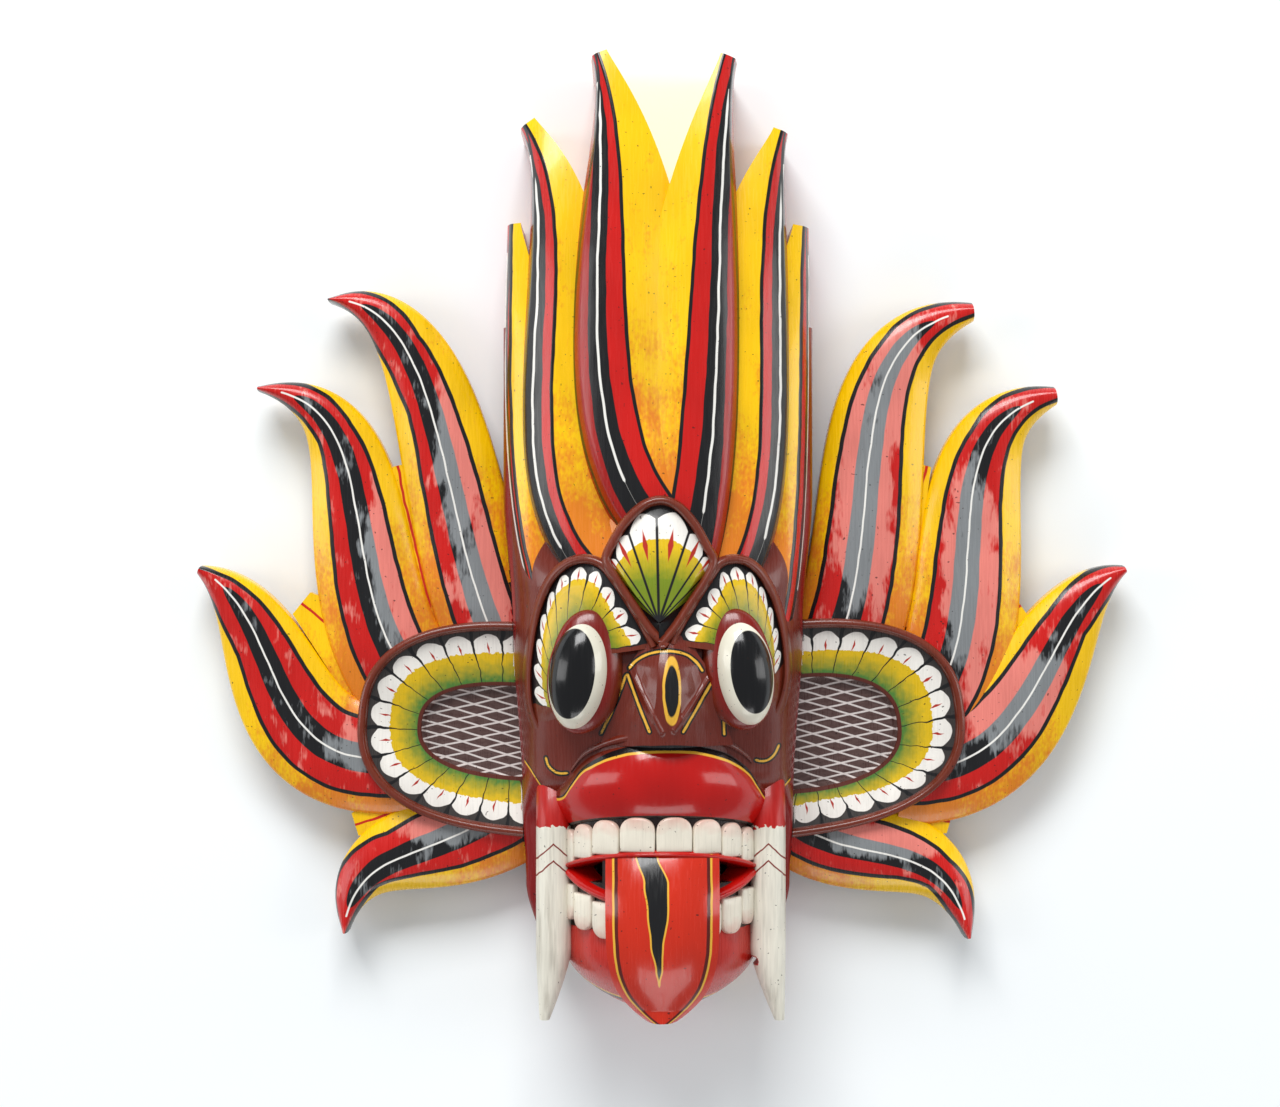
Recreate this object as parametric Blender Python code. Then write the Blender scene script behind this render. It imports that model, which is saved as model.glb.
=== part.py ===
"""Raksha mask of a fire demon, carved in light wood, lying on its back.

Three pieces: the face block, hollowed half log with a crown of flames, and two ear wings fixed
against its sides. X is the viewer's right, Y runs up to the crown, Z comes out of the face.
Sizes and places below are in millimetres; MM turns them into metres when a mesh is made.
"""

import bpy
import bmesh
import math
import numpy as np
from mathutils import Vector

MM = 0.001

# How far forms and cutters reach beyond the faces that trim them.
FORM_OVERRUN = 2.0
CUTTER_OVERRUN = 6.0
CUTTER_HEIGHT = 100.0

# The half log: its side walls stand straight on the back plane, and its front is a half oval.
LOG_MIDDLE = -2.0
LOG_WALL_HEIGHT = 27.0
LOG_HALF_WIDTHS = ((90, 65.6), (20, 65.6), (-36, 61.5), (-110, 57.5), (-145, 56.0), (-172, 50.0))
LOG_DEPTHS = ((90, 50), (40, 52), (8, 57), (-20, 69), (-55, 74), (-96, 67), (-120, 40), (-172, 35))
LOG_TOP = 90.0
LOG_FOOT = -172.0

# The muzzle: a smaller half round in front of the log, from under the nose to the chin.
MUZZLE_MIDDLE = -1.0
MUZZLE_AXIS_HEIGHT = 32.0
MUZZLE_RADIUS = 41.0
MUZZLE_TOP = -80.0
CHIN_START = -168.0
CHIN_FOOT = -194.0
CHIN_SHARE = 0.42

# The hollow in the back, and the wall that it leaves.
WALL = 12.0
HOLLOW_TOP = 78.0
HOLLOW_FOOT = -160.0
MUZZLE_HOLLOW_TOP = -90.0
MOUTH_GAP_INNER = 24.0
MOUTH_GAP_OUTER = 35.5
MOUTH_GAP_TOP = -131.0
MOUTH_GAP_FOOT = -140.5
MOUTH_GAP_BACK = 20.0
MOUTH_WAY_INNER = 24.3
MOUTH_WAY_OUTER = 31.0
MOUTH_WAY_TOP = -134.1
MOUTH_WAY_FOOT = -139.3

# The crown flames. Root, two pulls and tip give the crest line, as shares of the crown's height
# over the middle of the back. A side has its full width and its width at the tip, as shares too,
# and how late it narrows. The lift is the crest's height over the crown's oval, in millimetres.
CROWN_HEIGHT = 200.5
CROWN_DEPTH = 63.0
CROWN_HALF_WIDTH = 65.6
CROWN_INNER_FALL = 0.42
CROWN_OUTER_FALL = 3.0
CROWN_STEP = 9.0
CROWN_STEP_START = 0.80
CROWN_TIP_LEAN = 9.0
CROWN_NARROWING = 1.5
CROWN_LEAST_HEIGHT = 12.0
CROWN = (
    dict(
        path=((0.02, 0.08), (-0.14, 0.274), (-0.035, 0.748), (-0.135, 1)),
        left=(0.1297, 0.015, 3),
        right=(0.1696, 0.02, 3),
        lift=9,
    ),
    dict(
        path=((0, -0.02), (0.065, 0.25), (0.04, 0.698), (0.125, 0.998)),
        left=(0.1197, 0.0075, 3),
        right=(0.1247, 0.0299, 3),
        lift=9,
    ),
    dict(
        path=((-0.12, -0.06), (-0.349, 0.13), (-0.12, 0.608), (-0.289, 0.868)),
        left=(0.0698, 0.0125, 6),
        right=(0.1297, 0.0249, 4),
        lift=5,
    ),
    dict(
        path=((0.14, -0.06), (0.259, 0.175), (0.15, 0.549), (0.249, 0.853)),
        left=(0.1297, 0.02, 5),
        right=(0.0673, 0.015, 6),
        lift=5,
    ),
    dict(
        path=((-0.239, -0.17), (-0.339, 0.05), (-0.319, 0.399), (-0.319, 0.668)),
        left=(0.017, 0.0125, 8),
        right=(0.0698, 0.02, 8),
        lift=1,
    ),
    dict(
        path=((0.249, -0.17), (0.299, 0.05), (0.279, 0.399), (0.299, 0.663)),
        left=(0.0698, 0.0249, 8),
        right=(0.0249, 0.015, 8),
        lift=1,
    ),
)

# The brow: two rimmed lobes over the eyes and a fan between them, carved proud of the log.
BROW_DEPTHS = ((16, 68), (-20, 72), (-55, 74))
RIM_WIDTH = 4.0
RIM_RISE = 6.0
RIM_ROUND = 1.3
PETAL_RISE = 2.5
SOCKET_RISE = 5.0
SOCKET_INSET = 2.0
CARVING_ROOT = 9.0
FADED_DEPTH = 1.5
LOBES = (
    dict(
        edge=(
            (-52, -86),
            (-57.4, -72),
            (-58.6, -58),
            (-57.5, -45),
            (-54.6, -30),
            (-49, -16.4),
            (-41.9, -8.8),
            (-33.4, -5.8),
            (-24.6, -8),
            (-18, -15.4),
            (-11, -26),
            (-4.4, -37.2),
            (-2.2, -42.5),
        ),
        eye_angles=(252, 28),
        faded=0.17,
    ),
    dict(
        edge=(
            (46, -80),
            (51.5, -68),
            (53.7, -57),
            (53.4, -46),
            (51.6, -35),
            (47.2, -21.6),
            (40.1, -10.6),
            (31.6, -6),
            (22.4, -7.6),
            (16.2, -15.4),
            (9.4, -26),
            (3.3, -36.5),
            (1.6, -41.5),
        ),
        eye_angles=(-62, 150),
        faded=0.2,
    ),
)
FAN_EDGE = (
    (-0.3, -44.5),
    (-7.2, -37.6),
    (-14, -27.6),
    (-21, -17),
    (-25.4, -8.6),
    (-22.4, 0),
    (-16.2, 9.4),
    (-8.6, 16),
    (-0.5, 18),
    (7.3, 15),
    (14, 7.6),
    (19, -1.2),
    (22.4, -9),
    (18.6, -17.8),
    (12.4, -27.2),
    (6, -37),
)
FAN_HUB = (-2.0, -33.5)
FAN_HUB_SHARE = 0.2
FAN_RISE = 2.0

# The bulging eyes with their lids.
EYES = (
    dict(middle=(-34.3, -55), half=(12.6, 22.5), tilt=-7),
    dict(middle=(32.7, -54), half=(12.1, 22), tilt=8),
)
EYE_BULGE = 12.0
LID_BULGE = 7.2
LID_WIDTH = 5.0

# The nose widens from between the brows to the nostrils above the lip.
NOSE_MIDDLE = 1.5
NOSE_TOP = -38.0
NOSE_FOOT = -84.0
NOSE_HALF_WIDTHS = ((-38, 5.0), (-44, 11.5), (-52, 15.5), (-62, 18.5), (-76, 24.6), (-84, 27.0))
NOSE_ROOT_RISE = 4.0
NOSE_RISE = 10.0
NOSE_SIDE_RISE = 4.0

# Lips, teeth, tongue and tusks.
LIP_TOP = -83.0
LIP_FOOT = -113.0
LIP_SAG = 10.0
LIP_TOP_SAG = 20.0
LIP_BULGE = 6.0
LIP_REACH = 84.0
LIP_PROUD = 0.5
TEETH_TOP = -112.6
TEETH_FOOT = -126.8
TEETH_SAG = 13.0
TOOTH_ANGLE = 20.5
TOOTH_SHRINK = 0.87
TEETH_EACH_SIDE = 4
TEETH_MIDDLE_ANGLE = -3.0
TOOTH_STAND = 2.5
TOOTH_ROUND = 0.6
TOOTH_ROOT = 7.0
GUM_TOP = -126.0
GUM_FOOT = -129.2
GUM_SAG = 9.6
LOWER_LIP_TOP = -146.2
LOWER_LIP_FOOT = -151.0
LOWER_LIP_RISE = 14.0
MOUTH_REACH = 72.0
MOUTH_BULGE = 3.6
MOUTH_CORNER = (58, 68, 78, 88)
MOUTH_CORNER_TOP = -118.0
MOUTH_CORNER_FOOT = -138.0
MOUTH_CORNER_STAND = 2.0
LOWER_TEETH_TOP = -150.0
LOWER_TEETH_FOOT = -165.0
TONGUE_MIDDLE = -0.5
TONGUE_TOP = -128.0
TONGUE_TIP = -197.5
TONGUE_HALF_WIDTH = 23.2
TONGUE_TIP_HALF = 6.0
TONGUE_SQUARENESS = 6.0
TONGUE_HEIGHT = 70.0
TONGUE_BULGE = 13.0
TONGUE_ROUND = 6.0
TONGUE_THICK = 22.0
TUSK_TOP = -98.0
TUSK_TIP = -200.0
TUSK_HALF_WIDTH = 7.6
TUSK_HEIGHT = 45.0
TUSK_SINK = 9.0
TUSK_SINK_SHARE = 0.25
TUSK_HALF_DEPTH = 9.0
TUSK_MIDDLES = (-45.4, 43.6)
TUSK_TIP_SHIFTS = (-4.0, 5.0)
TUSK_HOLE = 3.7
TUSK_HOLE_PLACE = (37.6, -175.0)

# The ear wings: boards that butt against the log's walls, clear of the surface that it lies on.
# Their flames are given as the crown's are, as shares of the wings' reach from the middle.
WING_REACH = 198.0
WING_BACK = 8.5
WING_EDGE = 17.5
WING_CREST = 23.0
WING_CLEARANCE = 0.3
EAR_RIM = 27.0
EAR_GROUND = 23.5
EAR_POWER = 2.5
BOWL_EDGE = 19.5
BOWL_SLOPE = 2.0
BOWL_ROUND = 9.0
BOWL_FLOOR = 14.7
WEB_BACK = 9.5
WEB_FRONT = 16.5
WING_TOP = 45.0
WING_FOOT = -160.0
LEFT_WING = dict(
    webs=(
        ((-96, -45), (-114, 32), 11, 2),
        ((-112, -62), (-155, -27), 24, 6),
        ((-100, -112), (-132, -122), 14, 5),
    ),
    ear=dict(middle=(-55, -81), half=(75, 45.5), tilt=-5),
    bowl=dict(middle=(-60, -82), half=(41.5, 17.5), tilt=-4),
    flames=(
        dict(
            path=((-0.343, -0.253), (-0.49, 0.02), (-0.455, 0.525), (-0.722, 0.52)),
            left=(0.1061, 0.004, 2.6),
            right=(0.1162, 0.004, 3.2),
        ),
        dict(
            path=((-0.515, -0.333), (-0.737, -0.101), (-0.566, 0.303), (-0.874, 0.328)),
            left=(0.1263, 0.0061, 2.1),
            right=(0.1111, 0.0061, 3),
        ),
        dict(
            path=((-0.525, -0.465), (-0.889, -0.525), (-0.793, -0.172), (-1, -0.061)),
            left=(0.1212, 0.0152, 3),
            right=(0.1212, 0.0076, 3),
        ),
        dict(
            path=((-0.313, -0.545), (-0.465, -0.707), (-0.667, -0.636), (-0.687, -0.848)),
            left=(0.1364, 0.0061, 1.3),
            right=(0.1061, 0.0061, 3.2),
        ),
    ),
)
RIGHT_WING = dict(
    webs=(
        ((94, -44), (113.5, 32), 11, 2),
        ((108, -60), (154, -28), 24, 6),
        ((96, -113), (123.5, -121), 14, 5),
    ),
    ear=dict(middle=(50, -81), half=(79, 46), tilt=7),
    bowl=dict(middle=(56, -83), half=(43, 22), tilt=6),
    flames=(
        dict(
            path=((0.354, -0.273), (0.51, 0.01), (0.343, 0.455), (0.672, 0.495)),
            left=(0.1061, 0.0202, 2.8),
            right=(0.1313, 0.0202, 3.4),
        ),
        dict(
            path=((0.566, -0.364), (0.747, -0.152), (0.545, 0.263), (0.851, 0.313)),
            left=(0.1111, 0.0202, 2.8),
            right=(0.1263, 0.0202, 3.4),
        ),
        dict(
            path=((0.515, -0.495), (0.833, -0.51), (0.808, -0.141), (1, -0.063)),
            left=(0.1212, 0.0101, 2.9),
            right=(0.1212, 0.0101, 2.7),
        ),
        dict(
            path=((0.283, -0.606), (0.424, -0.717), (0.616, -0.616), (0.662, -0.859)),
            left=(0.1061, 0.0076, 3.2),
            right=(0.096, 0.0076, 2.6),
        ),
    ),
)

# Facets along and across the carved forms.
LOG_ACROSS = 22
FLAME_STATIONS = 11
EYE_SPOKES = 20
EAR_SPOKES = 28


def along(table, y):
    """The value at y in a table of (y, value) rows from the crown down, eased between the rows."""
    rows = sorted(table)
    for (low, low_value), (high, high_value) in zip(rows, rows[1:]):
        if low <= y <= high:
            share = (y - low) / (high - low)
            ease = share * share * (3 - 2 * share)
            return low_value + (high_value - low_value) * ease
    return rows[0][1] if y < rows[0][0] else rows[-1][1]


def log_surface(x, y, depths=LOG_DEPTHS):
    """Height of the half log's front over the back plane."""
    across = (x - LOG_MIDDLE) / along(LOG_HALF_WIDTHS, y)
    round_part = math.sqrt(max(0.0, 1 - across * across))
    return LOG_WALL_HEIGHT + (along(depths, y) - LOG_WALL_HEIGHT) * round_part


def brow_surface(x, y):
    """Height of the ground that the brow and the nose are carved from."""
    return log_surface(x, y, BROW_DEPTHS if y > BROW_DEPTHS[-1][0] else LOG_DEPTHS)


def crown_surface(x):
    across = (x - LOG_MIDDLE) / CROWN_HALF_WIDTH
    round_part = math.sqrt(max(0.0, 1 - across * across))
    return LOG_WALL_HEIGHT + (CROWN_DEPTH - LOG_WALL_HEIGHT) * round_part


def bezier(path, share):
    """Point and unit direction on a four-point curve."""
    a, b, c, d = (Vector(point) for point in path)
    rest = 1 - share
    point = a * rest**3 + b * (3 * rest * rest * share) + c * (3 * rest * share * share) + d * share**3
    run = (b - a) * rest * rest + (c - b) * (2 * rest * share) + (d - c) * share * share
    return point, run.normalized()


def oval(form, angle, grow=0.0, power=2.0):
    """Point on a tilted oval at an angle; a power over 2 makes its shoulders squarer."""
    cosine = math.cos(angle)
    sine = math.sin(angle)
    x = math.copysign(abs(cosine) ** (2 / power), cosine) * (form["half"][0] + grow)
    y = math.copysign(abs(sine) ** (2 / power), sine) * (form["half"][1] + grow)
    tilt = math.radians(form["tilt"])
    return (
        form["middle"][0] + x * math.cos(tilt) - y * math.sin(tilt),
        form["middle"][1] + x * math.sin(tilt) + y * math.cos(tilt),
    )


def inset_line(points, depth, towards, closed=False):
    """A line's points moved square to it by a depth, to the side that a point lies on."""
    last = len(points) - 1
    moved = []
    for i, point in enumerate(points):
        before = points[i - 1] if i > 0 or closed else point
        after = points[(i + 1) % len(points)] if i < last or closed else point
        run = (Vector(after) - Vector(before)).normalized()
        inward = Vector((-run.y, run.x))
        if inward.dot(Vector(towards) - Vector(point)) < 0:
            inward = -inward
        moved.append(Vector(point) + inward * depth)
    return moved


def loft(name, rings):
    """A closed solid through rings of as many points each, with a cap on the first and last ring."""
    mesh = bpy.data.meshes.new(name)
    body = bmesh.new()
    rows = [[body.verts.new(Vector(point) * MM) for point in ring] for ring in rings]
    count = len(rows[0])
    for lower, upper in zip(rows, rows[1:]):
        for i in range(count):
            body.faces.new((lower[i], lower[(i + 1) % count], upper[(i + 1) % count], upper[i]))
    body.faces.new(rows[0])
    body.faces.new(rows[-1])
    bmesh.ops.recalc_face_normals(body, faces=body.faces)
    body.to_mesh(mesh)
    body.free()
    return bpy.data.objects.new(name, mesh)


def log_rings(stations, shrink, foot, depth_cut):
    """Sections of the half log, drawn in by a wall's thickness where it is a hollow."""
    rings = []
    for y in sorted(stations):
        half = along(LOG_HALF_WIDTHS, y) - shrink
        depth = along(LOG_DEPTHS, y) - depth_cut - LOG_WALL_HEIGHT
        ring = [(LOG_MIDDLE + half, y, foot), (LOG_MIDDLE - half, y, foot)]
        for i in range(LOG_ACROSS + 1):
            angle = math.pi * (1 - i / LOG_ACROSS)
            height = LOG_WALL_HEIGHT + depth * math.sin(angle)
            ring.append((LOG_MIDDLE + half * math.cos(angle), y, height))
        rings.append(ring)
    return rings


def make_log():
    stations = np.linspace(LOG_TOP, LOG_FOOT, 15)
    return loft("log", log_rings(stations, 0.0, -FORM_OVERRUN, 0.0))


def make_hollow():
    """The trough in the back; where the log is low it stays no deeper than its walls."""
    stations = np.linspace(HOLLOW_TOP, HOLLOW_FOOT, 13)
    return loft("hollow", log_rings(stations, WALL, -CUTTER_OVERRUN, WALL))


def muzzle_radius(y):
    """The muzzle keeps its radius down to the chin, which rounds off under it."""
    if y >= CHIN_START:
        return MUZZLE_RADIUS
    share = (CHIN_START - y) / (CHIN_START - CHIN_FOOT)
    return MUZZLE_RADIUS * (1 - (1 - CHIN_SHARE) * share**2.2)


def muzzle_point(y, degrees, stand=0.0):
    """A point on the muzzle at an angle from straight ahead, standing proud by a few millimetres."""
    radius = muzzle_radius(y) + stand
    angle = math.radians(degrees)
    return (MUZZLE_MIDDLE + radius * math.sin(angle), y, MUZZLE_AXIS_HEIGHT + radius * math.cos(angle))


def muzzle_rings(stations, stand, foot):
    """Sections of the muzzle: straight sides up to its axis, then a half round."""
    rings = []
    for y in stations:
        ring = [muzzle_point(y, 90, stand)[:2] + (foot,), muzzle_point(y, -90, stand)[:2] + (foot,)]
        ring += [muzzle_point(y, degrees, stand) for degrees in np.linspace(-90, 90, 17)]
        rings.append(ring)
    return rings


def make_muzzle():
    chin = CHIN_START - CHIN_FOOT
    stations = [MUZZLE_TOP] + [CHIN_START - chin * share for share in (0.0, 0.35, 0.65, 0.85, 1.0)]
    return loft("muzzle", muzzle_rings(stations, 0.0, -1.5 * FORM_OVERRUN))


def make_muzzle_hollow():
    foot = -1.2 * CUTTER_OVERRUN
    return loft("muzzle_hollow", muzzle_rings((MUZZLE_HOLLOW_TOP, HOLLOW_FOOT), -WALL, foot))


def side_width(side, share, narrowing):
    """Half width on one side of a flame at a share of the way from root to tip."""
    full, tip, late = side
    return tip + (full - tip) * max(0.0, 1 - share**late) ** narrowing


def crown_height(flame, x, share, offset, half):
    """Front of a crown flame: a crest, a falling inner side and a steep outer side."""
    lean = CROWN_TIP_LEAN * max(0.0, share - 0.5) ** 2 * 4
    height = crown_surface(x) + flame["lift"] - lean
    outward = offset * flame["outer"]
    if outward < 0:
        return max(height + CROWN_INNER_FALL * outward, CROWN_LEAST_HEIGHT)
    reach = outward / half
    step = max(0.0, (reach - CROWN_STEP_START) / (1 - CROWN_STEP_START))
    fall = CROWN_OUTER_FALL * reach * reach + CROWN_STEP * step
    return max(height - fall, CROWN_LEAST_HEIGHT)


def flame_rings(flame, size, foot, height_at, across, narrowing):
    """Sections square to a flame's path, from root to tip, for a crown or wing of this size."""
    rings = []
    for station in range(FLAME_STATIONS):
        share = 1 - (1 - station / (FLAME_STATIONS - 1)) ** 1.35
        point, run = bezier(flame["path"], share)
        left = Vector((-run.y, run.x))
        widths = {
            1: side_width(flame["left"], share, narrowing) * size,
            -1: side_width(flame["right"], share, narrowing) * size,
        }
        top = []
        for step in across:
            half = widths[1 if step > 0 else -1]
            place = point * size + left * (step * half)
            top.append((place.x, place.y, height_at(flame, place.x, share, step * half, half)))
        ring = top + [(top[-1][0], top[-1][1], foot), (top[0][0], top[0][1], foot)]
        rings.append(ring)
    return rings


def make_crown():
    flames = []
    for number, flame in enumerate(CROWN):
        outer = 1 if flame["path"][3][0] < 0 else -1
        across = (1, 0.94, 0.8, 0.4, 0, -0.33, -0.66, -1)
        if outer < 0:
            across = (1, 0.66, 0.33, 0, -0.4, -0.8, -0.94, -1)
        form = dict(flame, outer=outer)
        rings = flame_rings(form, CROWN_HEIGHT, -FORM_OVERRUN, crown_height, across, CROWN_NARROWING)
        flames.append(loft(f"crown_flame_{number + 1}", rings))
    return flames


def wing_height(flame, x, share, offset, half):
    """Front of a wing flame: a flat crest that falls to its edges."""
    reach = abs(offset) / half
    return WING_CREST - (WING_CREST - WING_EDGE) * reach**2.5


def dish(name, spokes, rings):
    """A carved lobe: rings of points around it, each a function of the angle."""
    turn = [2 * math.pi * i / spokes for i in range(spokes)]
    return loft(name, [[ring(angle) for angle in turn] for ring in rings])


def rooted(point):
    """A point under the log's front, where a carving is rooted."""
    return point[0], point[1], log_surface(*point) - CARVING_ROOT


def on_brow(point, rise):
    return point[0], point[1], brow_surface(*point) + rise


def at_height(outline, height):
    def ring(angle):
        x, y = outline(angle)
        return x, y, height

    return ring


def make_lobe(name, form, eye):
    """A strip from its rim in to the eye; one end sinks into the cheek beside the eye."""
    edge = [Vector(point) for point in form["edge"]]
    crest = inset_line(edge, RIM_WIDTH / 2, eye["middle"])
    bank = inset_line(edge, RIM_WIDTH, eye["middle"])
    first, last = (math.radians(angle) for angle in form["eye_angles"])
    sections = []
    for i, point in enumerate(edge):
        share = i / (len(edge) - 1)
        inner = oval(eye, first + (last - first) * share, -SOCKET_INSET)
        grown = min(1.0, share / form["faded"])
        grown = grown * grown * (3 - 2 * grown)
        sunk = FADED_DEPTH * (1 - grown)
        sections.append(
            [
                rooted(point),
                on_brow(point, (RIM_RISE - RIM_ROUND) * grown - sunk),
                on_brow(crest[i], RIM_RISE * grown - sunk),
                on_brow(bank[i], PETAL_RISE * grown - sunk),
                on_brow(inner, SOCKET_RISE * grown - sunk),
                rooted(inner),
            ]
        )
    return loft(name, sections)


def make_fan():
    """The fan's rim and the petals in it, which run in to its hub between the eyes."""
    edge = [Vector(point) for point in FAN_EDGE]
    hub = Vector(FAN_HUB)
    bank = inset_line(edge, RIM_WIDTH, hub, closed=True)
    rings = [
        [rooted(point) for point in edge],
        [on_brow(point, FAN_RISE + RIM_RISE - RIM_ROUND) for point in edge],
        [on_brow(point, FAN_RISE + RIM_RISE) for point in inset_line(edge, RIM_WIDTH / 2, hub, closed=True)],
        [on_brow(point, FAN_RISE + PETAL_RISE) for point in bank],
        [on_brow(hub.lerp(point, FAN_HUB_SHARE), FAN_RISE + SOCKET_RISE) for point in bank],
    ]
    return loft("brow_fan", rings)


def make_eyes():
    """An egg for each eye, rooted in the log, round which the lid stands as a lower, wider egg."""
    eyes = []
    for number, form in enumerate(EYES):
        base = log_surface(*form["middle"]) + SOCKET_RISE
        for part, grow, bulge in (("ball", 0.0, EYE_BULGE), ("lid", LID_WIDTH, LID_BULGE)):
            rings = [lambda angle, grow=grow: rooted(oval(form, angle, grow))]
            for climb in (0, 20, 40, 60, 78):
                share = math.cos(math.radians(climb))
                rise = math.sin(math.radians(climb)) * bulge

                def outline(angle, share=share):
                    x, y = oval(form, angle, grow)
                    return (
                        form["middle"][0] + (x - form["middle"][0]) * share,
                        form["middle"][1] + (y - form["middle"][1]) * share,
                    )

                rings.append(at_height(outline, base + rise))
            eyes.append(dish(f"eye_{part}_{number + 1}", EYE_SPOKES, rings))
    return eyes


def make_nose():
    rings = []
    for share in (0.0, 0.12, 0.3, 0.45, 0.55, 0.7, 0.9, 1.0):
        y = NOSE_TOP + (NOSE_FOOT - NOSE_TOP) * share
        half = along(NOSE_HALF_WIDTHS, y)
        rise = NOSE_ROOT_RISE + NOSE_RISE * math.sin(share * math.radians(110))
        ridge = brow_surface(NOSE_MIDDLE, y) + rise
        base = log_surface(NOSE_MIDDLE + half, y) - CARVING_ROOT
        top = base + CARVING_ROOT + NOSE_SIDE_RISE
        rings.append(
            [
                (NOSE_MIDDLE - half, y, base),
                (NOSE_MIDDLE - half, y, top),
                (NOSE_MIDDLE - half * 0.45, y, ridge * 0.55 + top * 0.45),
                (NOSE_MIDDLE - half * 0.25, y, ridge - 1.0),
                (NOSE_MIDDLE, y, ridge),
                (NOSE_MIDDLE + half * 0.25, y, ridge - 1.0),
                (NOSE_MIDDLE + half * 0.45, y, ridge * 0.55 + top * 0.45),
                (NOSE_MIDDLE + half, y, top),
                (NOSE_MIDDLE + half, y, base),
            ]
        )
    return loft("nose", rings)


def make_lip(name, top, foot, top_drop, foot_drop, bulge, reach):
    """A rounded band round the muzzle; its edges drop, or rise if negative, towards its ends."""
    rings = []
    for degrees in np.linspace(-reach, reach, 17):
        bend = (degrees / reach) ** 2
        high = top - top_drop * bend
        low = foot - foot_drop * bend
        ring = [(high, -CARVING_ROOT), (high, LIP_PROUD)]
        for share in (0.2, 0.5, 0.8):
            round_part = math.sin(math.pi * (0.15 + 0.7 * share))
            ring.append((high + (low - high) * share, bulge * round_part))
        ring += [(low, LIP_PROUD), (low, -CARVING_ROOT)]
        rings.append([muzzle_point(y, degrees, stand) for y, stand in ring])
    return loft(name, rings)


def make_lips():
    upper = (LIP_TOP, LIP_FOOT, LIP_TOP_SAG, LIP_SAG, LIP_BULGE, LIP_REACH)
    gum = (GUM_TOP, GUM_FOOT, GUM_SAG, GUM_SAG, MOUTH_BULGE, MOUTH_REACH)
    rise = -LOWER_LIP_RISE
    lower = (LOWER_LIP_TOP, LOWER_LIP_FOOT, rise, rise, MOUTH_BULGE, MOUTH_REACH)
    return make_lip("upper_lip", *upper), make_lip("upper_gum", *gum), make_lip("lower_lip", *lower)


def make_mouth_corner(name, side):
    """The wood behind the teeth's ends, which fills the corner between them and the tusk."""
    top, foot = MOUTH_CORNER_TOP, MOUTH_CORNER_FOOT
    stand = MOUTH_CORNER_STAND
    section = ((top, -CARVING_ROOT), (top, stand), (foot, stand), (foot, -CARVING_ROOT))
    rings = [[muzzle_point(y, side * degrees, proud) for y, proud in section] for degrees in MOUTH_CORNER]
    return loft(name, rings)


def make_tooth(name, start, end, top, foot, stand):
    """One tooth: an arch-topped block on the muzzle's round."""
    outline = (
        (0.04, 0.0),
        (0.04, 0.62),
        (0.28, 0.92),
        (0.5, 1.0),
        (0.72, 0.92),
        (0.96, 0.62),
        (0.96, 0.0),
    )
    rings = []
    for proud, inset in ((-TOOTH_ROOT, 0.0), (stand - TOOTH_ROUND, 0.0), (stand, 0.08)):
        ring = []
        for across, up in outline:
            across = 0.5 + (across - 0.5) * (1 - inset)
            y = foot + (top - foot) * (0.5 + (up - 0.5) * (1 - inset))
            ring.append(muzzle_point(y, start + (end - start) * across, proud))
        rings.append(ring)
    return loft(name, rings)


def make_teeth():
    teeth = []
    for side in (-1, 1):
        start = TEETH_MIDDLE_ANGLE
        for number in range(TEETH_EACH_SIDE):
            width = TOOTH_ANGLE * TOOTH_SHRINK**number
            end = start + side * width
            sag = TEETH_SAG * (abs(start + end) / 2 / LIP_REACH) ** 2
            first, last = sorted((start, end))
            upper = (TEETH_TOP - sag, TEETH_FOOT - sag)
            teeth.append(make_tooth(f"upper_tooth_{side}_{number}", first, last, *upper, TOOTH_STAND))
            lower = (LOWER_TEETH_TOP + sag, LOWER_TEETH_FOOT + sag)
            turned = (lower[1], lower[0])
            teeth.append(make_tooth(f"lower_tooth_{side}_{number}", first, last, *turned, TOOTH_STAND))
            start = end
    return teeth


def make_tongue():
    """A long tongue that rolls out over the lower lip and ends in a blunt point below the chin."""
    rings = []
    length = TONGUE_TOP - TONGUE_TIP
    for share in (0.0, 0.15, 0.35, 0.55, 0.72, 0.86, 0.95, 1.0):
        y = TONGUE_TOP - length * share
        half = TONGUE_TIP_HALF + (TONGUE_HALF_WIDTH - TONGUE_TIP_HALF) * (1 - share**TONGUE_SQUARENESS)
        middle = TONGUE_HEIGHT + TONGUE_BULGE * math.sin(math.pi * min(1.0, 0.12 + share * 0.95))
        ring = []
        for across in (-1, -0.85, -0.5, 0, 0.5, 0.85, 1):
            ring.append((TONGUE_MIDDLE + half * across, y, middle - TONGUE_ROUND * abs(across) ** 2.4))
        thick = TONGUE_THICK * (1 - 0.35 * share)
        ring.append((TONGUE_MIDDLE + half * 0.9, y, middle - thick))
        ring.append((TONGUE_MIDDLE - half * 0.9, y, middle - thick))
        rings.append(ring)
    return loft("tongue", rings)


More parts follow.
